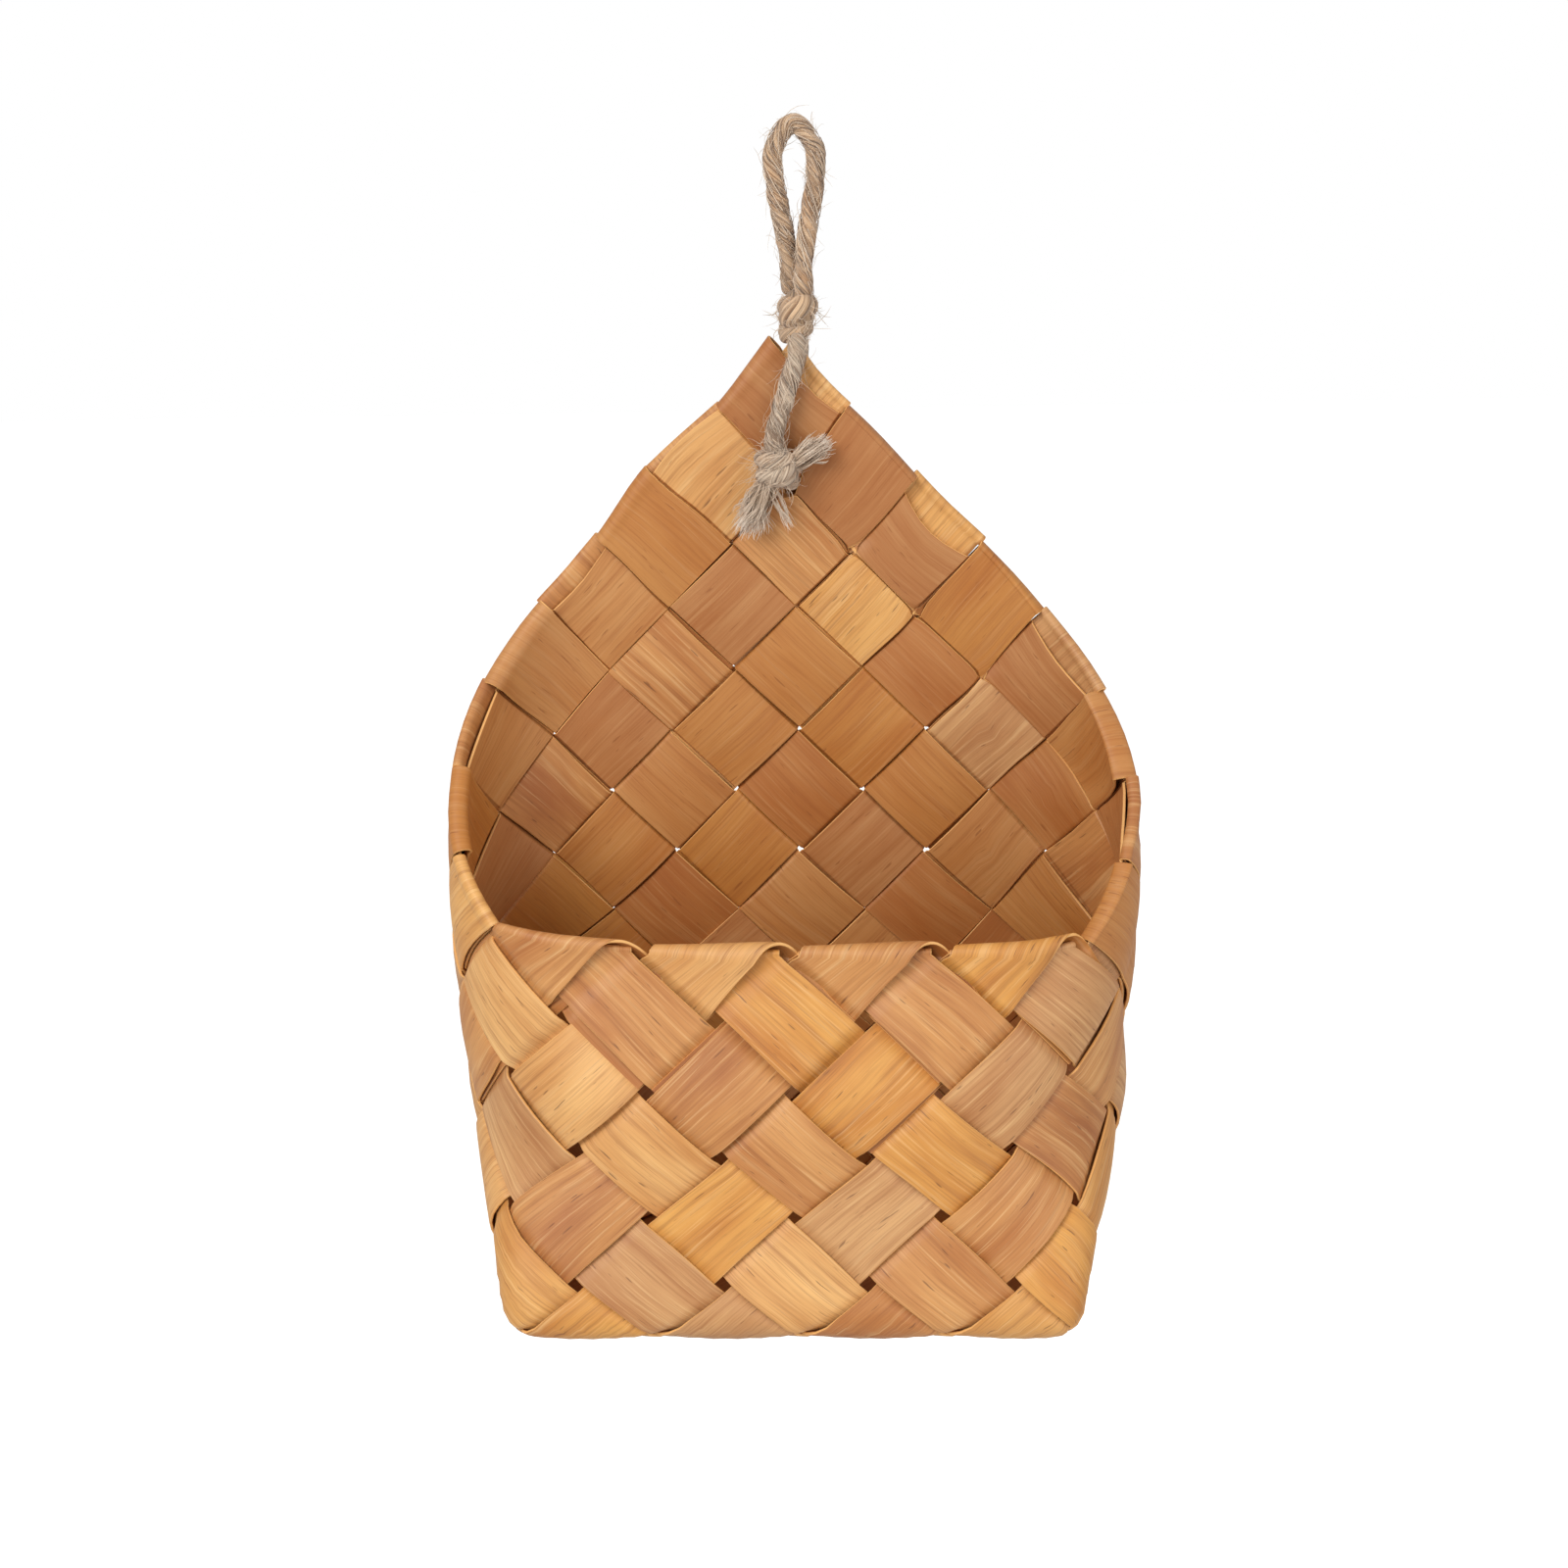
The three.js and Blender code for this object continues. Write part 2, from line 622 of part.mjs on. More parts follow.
// A knot as a turned body with one rounded turn of cord above the other, standing on its foot
function knotGeometry(length, halfWidth, halfDepth) {
  const profile = [new THREE.Vector2(0, 0)];
  for (let step = 0; step <= KNOT_STEPS; step += 1) {
    const up = step / KNOT_STEPS;
    const swell = Math.abs(Math.sin(2 * Math.PI * up));
    profile.push(new THREE.Vector2(KNOT_WAIST + (1 - KNOT_WAIST) * swell, up));
  }
  profile.push(new THREE.Vector2(0, 1));
  const body = new THREE.LatheGeometry(profile, KNOT_SIDES).rotateX(Math.PI / 2);
  return body.scale(halfWidth, halfDepth, length);
}

// A tuft of loosened fibres that leaves a knot at a point and widens to its end
function tuftGeometry(start, direction, length, halfWidth, halfDepth) {
  const along = direction.clone().normalize();
  const depth = new THREE.Vector3(0, 1, 0).addScaledVector(along, -along.y).normalize();
  const across = new THREE.Vector3().crossVectors(along, depth);
  const foot = CORD_DIAMETER / 2;
  const tuft = new THREE.CylinderGeometry(1, 1, length, CORD_SIDES).translate(0, length / 2, 0);
  const places = tuft.attributes.position;
  for (let index = 0; index < places.count; index += 1) {
    const share = places.getY(index) / length;
    places.setX(index, places.getX(index) * (foot + (halfWidth - foot) * share));
    places.setZ(index, places.getZ(index) * (foot + (halfDepth - foot) * share));
  }
  const turned = new THREE.Matrix4().makeBasis(across, along, depth);
  return tuft.applyMatrix4(turned).translate(start.x, start.y, start.z);
}

const APEX = bowedWall(APEX_AROUND, APEX_LEVEL);
const KNOT_BOTTOM = APEX.z + KNOT_TO_APEX;
const KNOT_TOP = KNOT_BOTTOM + KNOT_LENGTH;
const LOOP_TOP = KNOT_TOP + CORD_GAP + LOOP_LENGTH - CORD_DIAMETER / 2;
const NAIL_HEIGHT = LOOP_TOP - CORD_DIAMETER / 2;

// Half the thickness of the four layers at the apex and round the hole
const STACK = 1.5 * LAYER_STEP + SPLINT_THICKNESS / 2;

// From the knot up one side, round the nail and down the other side. At the knot the legs stand
// half behind each other.
function loopPoints() {
  const foot = KNOT_TOP + CORD_GAP;
  const [, straight, , widest] = LOOP_SHARES;
  const placed = (sign) => LOOP_SHARES.map((share) => {
    const open = smooth((share - straight) / (widest - straight));
    const apart = LOOP_FOOT_APART + (LOOP_HALF_WIDTH - LOOP_FOOT_APART) * open;
    const behind = LOOP_FOOT_DEPTH * (1 - open);
    const height = foot + (LOOP_TOP - foot) * share;
    return new THREE.Vector3(LOOP_TO_MIDDLE + sign * apart, -sign * behind, height);
  });
  return [...placed(-1), new THREE.Vector3(LOOP_TO_MIDDLE, 0, LOOP_TOP), ...placed(1).reverse()];
}

// A strand leaves and enters a knot square to it, so the two points at such an end are in line
function addCord(group) {
  const add = (name, geometry) => addMesh(group, name, geometry, CORD_COLOUR, CORD_ROUGHNESS);
  const radius = CORD_DIAMETER / 2;
  add('hanging_loop', cordGeometry(loopPoints()));
  const knot = knotGeometry(KNOT_LENGTH, KNOT_HALF_WIDTH, KNOT_HALF_DEPTH);
  add('loop_knot', knot.translate(LOOP_TO_MIDDLE, 0, KNOT_BOTTOM));

  const lane = STACK + FOLD_SPRING + CORD_GAP + radius;
  const strandTop = KNOT_BOTTOM - CORD_GAP;
  const lowerFoot = HOLE_CENTRE.z - LOWER_KNOT_DROP;
  const lowerTop = lowerFoot + LOWER_KNOT_LENGTH + CORD_GAP;
  const lowerY = -(STACK + CORD_GAP + LOWER_KNOT_RADIUS);
  const lowerX = LOWER_KNOT_TO_MIDDLE;
  add('front_strand', cordGeometry([
    new THREE.Vector3(LOOP_TO_MIDDLE, -lane, strandTop),
    new THREE.Vector3(LOOP_TO_MIDDLE, -lane, strandTop - STRAIGHT_END),
    new THREE.Vector3((LOOP_TO_MIDDLE + lowerX) / 2, (lowerY - lane) / 2, (strandTop + lowerTop) / 2),
    new THREE.Vector3(lowerX, lowerY, lowerTop + STRAIGHT_END),
    new THREE.Vector3(lowerX, lowerY, lowerTop),
  ]));
  add('back_strand', cordGeometry([
    new THREE.Vector3(LOOP_TO_MIDDLE, lane, strandTop),
    new THREE.Vector3(LOOP_TO_MIDDLE, lane, strandTop - STRAIGHT_END),
    new THREE.Vector3(LOOP_TO_MIDDLE / 2, lane, (strandTop + HOLE_CENTRE.z) / 2),
    new THREE.Vector3(0, lane, HOLE_CENTRE.z + 3 * radius),
    new THREE.Vector3(0, lane - radius / 2, HOLE_CENTRE.z + radius),
    new THREE.Vector3(0, STACK, HOLE_CENTRE.z),
    new THREE.Vector3(0, 0, HOLE_CENTRE.z),
    new THREE.Vector3(0, -STACK - CORD_GAP / 2, HOLE_CENTRE.z),
  ]));
  const lower = knotGeometry(LOWER_KNOT_LENGTH, LOWER_KNOT_RADIUS, LOWER_KNOT_RADIUS);
  add('lower_knot', lower.translate(lowerX, lowerY, lowerFoot));
  const tasselFoot = new THREE.Vector3(lowerX - radius, lowerY, lowerFoot - radius / 2 - CORD_GAP);
  add('frayed_end_low', tuftGeometry(
    tasselFoot, TASSEL_WAY, TASSEL_LENGTH, TASSEL_HALF_WIDTH, TASSEL_HALF_DEPTH));
  const stubX = lowerX + LOWER_KNOT_RADIUS + STUB_STANDOFF;
  const stubFoot = new THREE.Vector3(stubX, lowerY, lowerFoot + LOWER_KNOT_LENGTH / 2 + CORD_GAP);
  add('frayed_end_high', tuftGeometry(stubFoot, STUB_WAY, STUB_LENGTH, STUB_END_RADIUS, STUB_END_RADIUS));
}

function makeBasket() {
  const basket = new THREE.Group();
  basket.position.set(-LOOP_TO_MIDDLE, 0, -NAIL_HEIGHT);
  addSplints(basket);
  addCord(basket);
  return basket;
}

const part = new THREE.Group();
part.add(makeBasket());

export default part;
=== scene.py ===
"""Looks of the wall basket: twelve plaited wood splints and a knotted jute cord.

Metres, +Z up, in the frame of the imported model. The origin is the top of the inside of the
loop, the open front looks along -Y and the wall lies on the +Y side.
"""

import math

import bmesh
import bpy
import numpy as np
from mathutils import Matrix, Vector


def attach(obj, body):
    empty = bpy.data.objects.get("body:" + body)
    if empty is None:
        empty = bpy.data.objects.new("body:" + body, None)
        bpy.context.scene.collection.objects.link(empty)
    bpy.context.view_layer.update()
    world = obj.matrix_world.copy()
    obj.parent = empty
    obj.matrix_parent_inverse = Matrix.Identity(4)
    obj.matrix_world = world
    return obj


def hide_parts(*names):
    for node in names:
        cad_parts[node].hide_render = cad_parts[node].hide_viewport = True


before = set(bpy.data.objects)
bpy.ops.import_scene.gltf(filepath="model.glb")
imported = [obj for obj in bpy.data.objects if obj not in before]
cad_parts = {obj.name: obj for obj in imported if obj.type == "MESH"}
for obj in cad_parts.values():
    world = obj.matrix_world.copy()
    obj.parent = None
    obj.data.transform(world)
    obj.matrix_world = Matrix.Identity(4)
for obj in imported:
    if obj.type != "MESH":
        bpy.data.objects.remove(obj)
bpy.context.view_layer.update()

MM = 0.001

# The plait, with the same driving sizes as the solids
PITCH = 28.6 * MM
SPLINT_WIDTH = 25.6 * MM
SPLINT_THICKNESS = 0.9 * MM
LAYER_GAP = 0.3 * MM
FRONT_CELLS = 4
SIDE_CELLS = 2
RIM_CELLS = 3
EDGE_TAIL_CROSSINGS = 3

# Folded edges: how far the folds stand past the sheet, and how much they spring open
LEFT_OVERHANG = 4.2 * MM
RIGHT_OVERHANG = 1.6 * MM
RIM_OVERHANG = 0.3 * MM
LIP_RISE = 1.2 * MM
FOLD_SPRING = 0.8 * MM

# The bowl
BASE_FILLET = 8 * MM
BASE_SET_FORWARD = 19 * MM
BOWL_BLEND_LEVEL = 1.6
BACK_ROW_RISE = 0.936
FRONT_ROW_RISE = 0.9

# Widths of the splints as shares of what they are cut to. The back's plait is drawn together, so
# they lie closer there and in the foot's rows, and the front's lie a little further apart. Those
# along the borders reach this many pitches to each side of their middle
BACK_FILL = 1.07
FRONT_FILL = 0.965
FOOT_FILL = 0.035
BORDER_HALF = 0.503

CELL = PITCH * math.sqrt(2)
AROUND = 2 * (FRONT_CELLS + SIDE_CELLS)
HALF = SPLINT_WIDTH / PITCH / 2
LAYER_STEP = SPLINT_THICKNESS + LAYER_GAP

# From the middle of four layers to the middle of an outer one
OUTER_LAYER = 1.5 * LAYER_STEP

# The sheet in squares: its way round, its highest point, the gap for the cord and its borders
APEX_LEVEL = RIM_CELLS + SIDE_CELLS + FRONT_CELLS / 2
APEX_AROUND = FRONT_CELLS + SIDE_CELLS + FRONT_CELLS / 2
CORD_LEVEL = APEX_LEVEL - 1
RIGHT_EDGE = FRONT_CELLS - RIM_CELLS
LEFT_EDGE = AROUND + RIM_CELLS

# Sections of the bowl: level, depth, front and back corner radius, spread of front and back
LEVELS = np.array([
    [0, SIDE_CELLS * CELL, 20 * MM, 20 * MM, 1, 1],
    [1.5, 88 * MM, 57 * MM, 15 * MM, 1.014, 1.014],
    [RIM_CELLS, 73 * MM, 36 * MM, 36 * MM, 1.03, 0.92],
    [APEX_LEVEL, 80 * MM, 36 * MM, 36 * MM, 1.03, 0.92],
])

# The cord, with the same sizes and places as the solids
CORD_DIAMETER = 5.5 * MM
CORD_GAP = 0.3 * MM
CORD_HOLE = 5.2 * MM
HOLE_REACH = 14 * MM
LOOP_LENGTH = 47.1 * MM
LOOP_HALF_WIDTH = 5.6 * MM
LOOP_FOOT_APART = 2 * MM
LOOP_FOOT_DEPTH = 2.1 * MM
LOOP_TO_MIDDLE = 2.8 * MM
LOOP_SHARES = (0, 0.12, 0.35, 0.65, 0.85)
KNOT_LENGTH = 15.5 * MM
KNOT_TO_APEX = 1.8 * MM
LOWER_KNOT_LENGTH = 13 * MM
LOWER_KNOT_RADIUS = 6 * MM
LOWER_KNOT_DROP = 1.3 * MM
LOWER_KNOT_TO_MIDDLE = -4.2 * MM
STRAIGHT_END = 2 * MM
TASSEL_LENGTH = 15 * MM
STUB_LENGTH = 13 * MM

KNOT_BOTTOM = APEX_LEVEL * BACK_ROW_RISE * CELL + KNOT_TO_APEX
KNOT_TOP = KNOT_BOTTOM + KNOT_LENGTH
LOOP_TOP = KNOT_TOP + CORD_GAP + LOOP_LENGTH - CORD_DIAMETER / 2
HANG_HEIGHT = LOOP_TOP - CORD_DIAMETER / 2

# The frame's origin, seen from the middle of the back's foot
ORIGIN = np.array([LOOP_TO_MIDDLE, 0, HANG_HEIGHT])
HOLE_HEIGHT = CORD_LEVEL * BACK_ROW_RISE * CELL
HOLE_CENTRE = np.array([0, 0, HOLE_HEIGHT]) - ORIGIN


def srgb(red, green, blue):
    """Linear colour of an sRGB colour given in steps of 255."""
    values = np.array([red, green, blue]) / 255
    linear = np.where(values <= 0.04045, values / 12.92, ((values + 0.055) / 1.055) ** 2.4)
    return (*linear.tolist(), 1)


def smooth(t):
    t = np.clip(t, 0, 1)
    return t * t * (3 - 2 * t)


def onset(value, start, reach):
    """Smooth step from 0 at the start to 1 a reach later, or earlier where it is negative."""
    return smooth((value - start) / reach)


def unit(vectors):
    return vectors / np.linalg.norm(vectors, axis=-1, keepdims=True)


def mm(*values):
    return np.array(values) * MM


def full_turn(count):
    """Even angles round a circle."""
    return 2 * math.pi * np.arange(count) / count


def hermite(s, start, leave, end, arrive):
    """From start to end as s runs from 0 to 1, with the slopes at both ends."""
    return ((2 * s ** 3 - 3 * s ** 2 + 1) * start + (s ** 3 - 2 * s ** 2 + s) * leave
            + (3 * s ** 2 - 2 * s ** 3) * end + (s ** 3 - s ** 2) * arrive)


# Camera: at the photograph's place, a little above and to the right, and rolled a little

CAMERA_TARGET = np.array([-0.053, -1, 3.651]) * CELL - ORIGIN
CAMERA_DISTANCE = 18.86 * CELL
CAMERA_ELEVATION = math.radians(17.55)
CAMERA_AZIMUTH = math.radians(3.27)
CAMERA_ROLL = math.radians(-1.47)
CAMERA_LENS = 61.9


def add_camera():
    flat = math.cos(CAMERA_ELEVATION)
    back = Vector((math.sin(CAMERA_AZIMUTH) * flat, -math.cos(CAMERA_AZIMUTH) * flat,
                   math.sin(CAMERA_ELEVATION)))
    data = bpy.data.cameras.new("camera")
    data.lens = CAMERA_LENS
    camera = bpy.data.objects.new("camera", data)
    bpy.context.scene.collection.objects.link(camera)
    turn = (-back).to_track_quat("-Z", "Y").to_matrix() @ Matrix.Rotation(CAMERA_ROLL, 3, "Z")
    camera.matrix_world = (Matrix.Translation(Vector(CAMERA_TARGET) + back * CAMERA_DISTANCE)
                           @ turn.to_4x4())
    bpy.context.scene.camera = camera


add_camera()


# Nodes: small helpers that keep the material code short

class Nodes:
    """Builder for the node tree of a material or of the world."""

    def __init__(self, owner):
        self.owner = owner
        owner.use_nodes = True
        self.tree = owner.node_tree

    def add(self, kind, inputs=(), **settings):
        node = self.tree.nodes.new(kind)
        for name, value in settings.items():
            setattr(node, name, value)
        for socket, value in dict(inputs).items():
            self.put(node.inputs[socket], value)
        return node

    def put(self, socket, value):
        if isinstance(value, bpy.types.NodeSocket):
            self.tree.links.new(value, socket)
        else:
            socket.default_value = value

    def shade(self, **values):
        """Fills sockets of the shader, whose names have underscores here for their spaces."""
        for name, value in values.items():
            self.put(self.tree.nodes["Principled BSDF"].inputs[name.replace("_", " ")], value)

    def grain(self):
        return self.add("ShaderNodeUVMap", uv_map="grain").outputs[0]

    def mark(self, name):
        return self.add("ShaderNodeAttribute", attribute_name=name).outputs["Fac"]

    def math(self, operation, a, b):
        return self.add("ShaderNodeMath", {0: a, 1: b}, operation=operation).outputs[0]

    def noise(self, vector, scale, detail, roughness=0.55, shift=(0, 0)):
        """Noise with so many waves to the metre along the grain and across it."""
        placed = self.add("ShaderNodeMapping", {
            "Vector": vector, "Scale": (*scale, 1), "Location": (*shift, 0)}).outputs[0]
        return self.add("ShaderNodeTexNoise", {
            "Vector": placed, "Scale": 1.0, "Detail": detail, "Roughness": roughness,
        }).outputs["Fac"]

    def ramp(self, value, *stops):
        """Colour that changes between two stops, each a place and a colour."""
        node = self.add("ShaderNodeValToRGB", {"Fac": value})
        for element, (place, colour) in zip(node.color_ramp.elements, stops):
            element.position, element.color = place, srgb(*colour)
        return node.outputs["Color"]

    def step(self, value, low, high):
        return self.add("ShaderNodeMapRange", {
            "Value": value, "From Min": low, "From Max": high,
        }, interpolation_type="SMOOTHSTEP").outputs[0]

    def cover(self, share, tone, colour):
        """A share of a colour over a tone."""
        return self.add("ShaderNodeMix", {0: share, 6: tone, 7: srgb(*colour)},
                        data_type="RGBA").outputs[2]

    def tint(self, tone, value, low, high, share, colour):
        """Colour over a tone: none of it where a value is low, and a share where it is high."""
        amount = self.math("MULTIPLY", self.step(value, low, high), share)
        return self.cover(amount, tone, colour)

    def bump(self, strength, distance, height):
        return self.add("ShaderNodeBump", {
            "Strength": strength, "Distance": distance, "Height": height}).outputs[0]


# Meshes

def make_mesh(name, points, faces, material, uvs=None, marks=None):
    """Object from points, with one UV pair and named values per point."""
    mesh = bpy.data.meshes.new(name)
    mesh.from_pydata(points.tolist(), [], faces.tolist())
    mesh.materials.append(material)
    mesh.shade_smooth()
    if uvs is not None:
        corners = np.empty(len(mesh.loops), np.int32)
        mesh.loops.foreach_get("vertex_index", corners)
        layer = mesh.uv_layers.new(name="grain")
        layer.data.foreach_set("uv", uvs[corners].astype(np.float32).ravel())
    for label, values in (marks or {}).items():
        attribute = mesh.attributes.new(label, "FLOAT", "POINT")
        attribute.data.foreach_set("value", values.astype(np.float32))
    piece = bpy.data.objects.new(name, mesh)
    bpy.context.scene.collection.objects.link(piece)
    return piece


def skin_faces(rows, ring):
    """Faces round a tube of rows of points, each a closed ring."""
    row, column = np.meshgrid(np.arange(rows - 1), np.arange(ring), indexing="ij")
    here, beside = row * ring + column, row * ring + (column + 1) % ring
    return np.stack([here, here + ring, beside + ring, beside], axis=-1).reshape(-1, 4)


# The jute cord: two twisted plies, knots of the same cord, loose fibres

PLY_RADIUS = 0.38 * CORD_DIAMETER
PLY_OFFSET = 0.12 * CORD_DIAMETER
LOOP_TWIST = 23 * MM
STRAND_TWIST = 15 * MM
CORD_STEP = 0.6 * MM
CORD_RING = 16

# Steps of a curve from point to point, and the way that a frame first faces
CURVE_STEPS = 20
FIRST_WAY = [0.31, 0.94, 0.17]

# A blunt end keeps this share of its squared radius, and the plies' grains lie so far apart
END_LEFT = 0.001
GRAIN_APART = 9

# A loose fibre: its sides, how blunt it is, its steps, how unsteady it is and how it droops
FIBRE_SIDES = 4
FIBRE_BLUNT = (1.15, 0.1)
FIBRE_STEPS = 8
FIBRE_JITTER = 0.12
FIBRE_DROOP = 0.04

# Stray fibres of a cord and of a knot: shortest and longest length, how deep they are rooted
FUZZ_LENGTHS = (1.5 * MM, 9 * MM)
FUZZ_ROOT = 0.9
BALL_FUZZ_SHORTEST = 2 * MM
BALL_FUZZ_ROOT = 0.95
LAID_STEPS = (8, 26)

# A knot's core: rows and columns. Its turns: steps to a turn, and how the ends tuck in
CORE_ROWS, CORE_RING = 16, 20
TURN_STEPS = 40
TUCK, TUCK_SHARE = 0.55, 0.12

# A frayed end's clumps: fibres in one, points along a fibre, and how the fibres part
FIBRES_IN_CLUMP = 9
CLUMP_POINTS = 10
CLUMP_ROOT, CLUMP_TIP = 0.16, 0.22
CLUMP_BOW = 0.1
CLUMP_BEND, FIBRE_BEND = 0.9 * MM, 0.3 * MM

# Half the thickness of the layers at the apex, and the place of the strands over them
STACK = OUTER_LAYER + SPLINT_THICKNESS / 2
LANE = STACK + FOLD_SPRING + CORD_GAP + CORD_DIAMETER / 2
LEAN = 1 * MM
STRAND_TOP = KNOT_BOTTOM - CORD_GAP
LOWER_FOOT = HOLE_HEIGHT - LOWER_KNOT_DROP
LOWER_TOP = LOWER_FOOT + LOWER_KNOT_LENGTH + CORD_GAP
LOWER_Y = -(STACK + CORD_GAP + LOWER_KNOT_RADIUS)
INTO_KNOT = 3.4 * MM

# Middles of the two knots
HIGH_KNOT = np.array([LOOP_TO_MIDDLE, 0, (KNOT_BOTTOM + KNOT_TOP) / 2]) - ORIGIN
LOW_KNOT = np.array([LOWER_KNOT_TO_MIDDLE, LOWER_Y, LOWER_FOOT + LOWER_KNOT_LENGTH / 2]) - ORIGIN


def smooth_path(points):
    """Centripetal curve through given points, the same as the solids have, in even steps."""
    points = np.array(points, float)
    ends = [2 * points[0] - points[1], *points, 2 * points[-1] - points[-2]]
    gaps = np.sqrt(np.linalg.norm(np.diff(ends, axis=0), axis=1))
    s = np.linspace(0, 1, CURVE_STEPS, endpoint=False)[:, None]
    pieces = []
    for i in range(1, len(ends) - 2):
        before, gap, after = gaps[i - 1:i + 2]
        a, b, c, d = ends[i - 1:i + 3]
        leave = ((b - a) / before - (c - a) / (before + gap) + (c - b) / gap) * gap
        arrive = ((c - b) / gap - (d - b) / (gap + after) + (d - c) / after) * gap
        pieces.append(hermite(s, b, leave, c, arrive))
    line = np.concatenate([*pieces, points[-1:]])
    run = run_along(line)
    even = np.linspace(0, run[-1], math.ceil(run[-1] / CORD_STEP) + 1)
    return np.stack([np.interp(even, run, line[:, axis]) for axis in range(3)], axis=-1)


def run_along(line):
    """Length so far at each point of a line, or of many lines side by side."""
    steps = np.linalg.norm(np.diff(line, axis=0), axis=-1)
    return np.concatenate([np.zeros_like(steps[:1]), np.cumsum(steps, axis=0)])


def carried_frames(line):
    """Two directions across a line at each of its points, which turn as little as they can."""
    tangent = unit(np.gradient(line, axis=0))
    side = np.cross(tangent[0], FIRST_WAY)
    sides = []
    for direction in tangent:
        side = unit(side - direction * (side @ direction))
        sides.append(side)
    sides = np.array(sides)
    return sides, np.cross(tangent, sides)


class Skin:
    """Tubes gathered into one mesh, with grain coordinates and a darkness per point: painted shade by
    the depth of a cord's creases, and each loose fibre's own tone.
    """

    def __init__(self):
        self.points, self.faces, self.uvs, self.shades_and_tones = [], [], [], []
        self.count = 0

    def add(self, rings, run, round_lengths, shade_and_tone):
        rows, size = rings.shape[:2]
        self.points.append(rings.reshape(-1, 3))
        self.faces.append(skin_faces(rows, size) + self.count)
        self.uvs.append(np.stack([np.repeat(run, size), round_lengths.ravel()], axis=-1))
        self.shades_and_tones.append(shade_and_tone.ravel())
        self.count += rows * size

    def piece(self, name, material):
        return make_mesh(name, np.concatenate(self.points), np.concatenate(self.faces), material,
                         np.concatenate(self.uvs), {"shade_and_tone": np.concatenate(self.shades_and_tones)})


def add_twisted(skin, line, twist, thickness=1.0, phase=0.0):
    """Two plies twisted round each other along a line, rounded off at both ends."""
    side, other = carried_frames(line)
    run = run_along(line)
    full = PLY_RADIUS * thickness
    close = np.clip(np.minimum(run, run[-1] - run) / full, 0, 1)
    radius = full * np.sqrt(np.clip(1 - (1 - close) ** 2, END_LEFT, 1))
    offset = PLY_OFFSET * thickness
    around = math.pi + full_turn(CORD_RING)
    for ply in range(2):
        angle = (phase + math.pi * ply - 2 * math.pi * run / twist)[:, None]
        out = side * np.cos(angle) + other * np.sin(angle)
        across = other * np.cos(angle) - side * np.sin(angle)
        local = radius[:, None] * np.exp(1j * around)[None, :]
        rings = (line[:, None] + out[:, None] * (offset + local.real)[..., None]
                 + across[:, None] * local.imag[..., None])
        # How deep a point lies in the crease between the plies: the jute paints shade by it
        shade_and_tone = 1 - np.abs(offset + local) / (offset + radius)[:, None]
        lengths = np.broadcast_to((around + GRAIN_APART * ply) * PLY_RADIUS, shade_and_tone.shape)
        skin.add(rings, run, lengths, shade_and_tone)


def add_fibre(skin, line, radius, shade_and_tone=0.0):
    """One thin fibre or strand of fibres, pointed at its end."""
    side, other = carried_frames(line)
    share = np.linspace(0, 1, len(line))
    width = radius * np.clip(FIBRE_BLUNT[0] - share ** 3, FIBRE_BLUNT[1], 1)
    around = full_turn(FIBRE_SIDES)
    rings = line[:, None] + width[:, None, None] * (
        side[:, None] * np.cos(around)[None, :, None] + other[:, None] * np.sin(around)[None, :, None])
    lengths = np.broadcast_to(around * radius, rings.shape[:2])
    skin.add(rings, run_along(line), lengths, np.full(rings.shape[:2], shade_and_tone))


def curled(root, direction, length, rng, curl):
    """Line of a loose fibre that leaves its root and curls by an angle in all, drooping a little."""
    points = [root]
    direction = unit(direction)
    axis = unit(rng.normal(size=3))
    for _ in range(FIBRE_STEPS):
        points.append(points[-1] + direction * length / FIBRE_STEPS)
        turned = (direction + np.cross(axis, direction) * curl / FIBRE_STEPS
                  + rng.normal(size=3) * FIBRE_JITTER)
        direction = unit(turned - [0, 0, FIBRE_DROOP])
    return np.array(points)


def add_fuzz(skin, line, count, rng):
    """Stray fibres that stand off a cord, mostly along it."""
    side, other = carried_frames(line)
    tangent = unit(np.gradient(line, axis=0))
    shortest, longest = FUZZ_LENGTHS
    for _ in range(count):
        at = rng.integers(len(line))
        angle = rng.uniform(0, 2 * math.pi)
        out = side[at] * math.cos(angle) + other[at] * math.sin(angle)
        direction = out * rng.uniform(0.2, 0.8) + tangent[at] * rng.choice([-1, 1])
        length = shortest + (longest - shortest) * rng.uniform() ** 3
        root = line[at] + out * CORD_DIAMETER / 2 * FUZZ_ROOT
        add_fibre(skin, curled(root, direction, length, rng, rng.normal() * 1.6),
                  rng.uniform(0.035, 0.07) * MM)


def add_laid_fibres(skin, line, twist, count, rng):
    """Fibres and small strands that lie on a cord, winding with it."""
    side, other = carried_frames(line)
    for _ in range(count):
        first = rng.integers(0, len(line) - LAID_STEPS[0])
        last = min(len(line), first + rng.integers(*LAID_STEPS))
        run = np.arange(last - first) * CORD_STEP
        angle = rng.uniform(0, 2 * math.pi) - 2 * math.pi * run / (twist * rng.uniform(0.75, 1.9))
        reach = CORD_DIAMETER * (0.455 + rng.uniform(0, 0.045)
                                 + 0.03 * np.sin(run / (3 * MM) + rng.uniform(0, 6)))
        laid = (line[first:last] + side[first:last] * (reach * np.cos(angle))[:, None]
                + other[first:last] * (reach * np.sin(angle))[:, None])
        add_fibre(skin, laid, rng.uniform(0.06, 0.2) * MM, rng.choice([0, 0.25, 0.6, 1]))


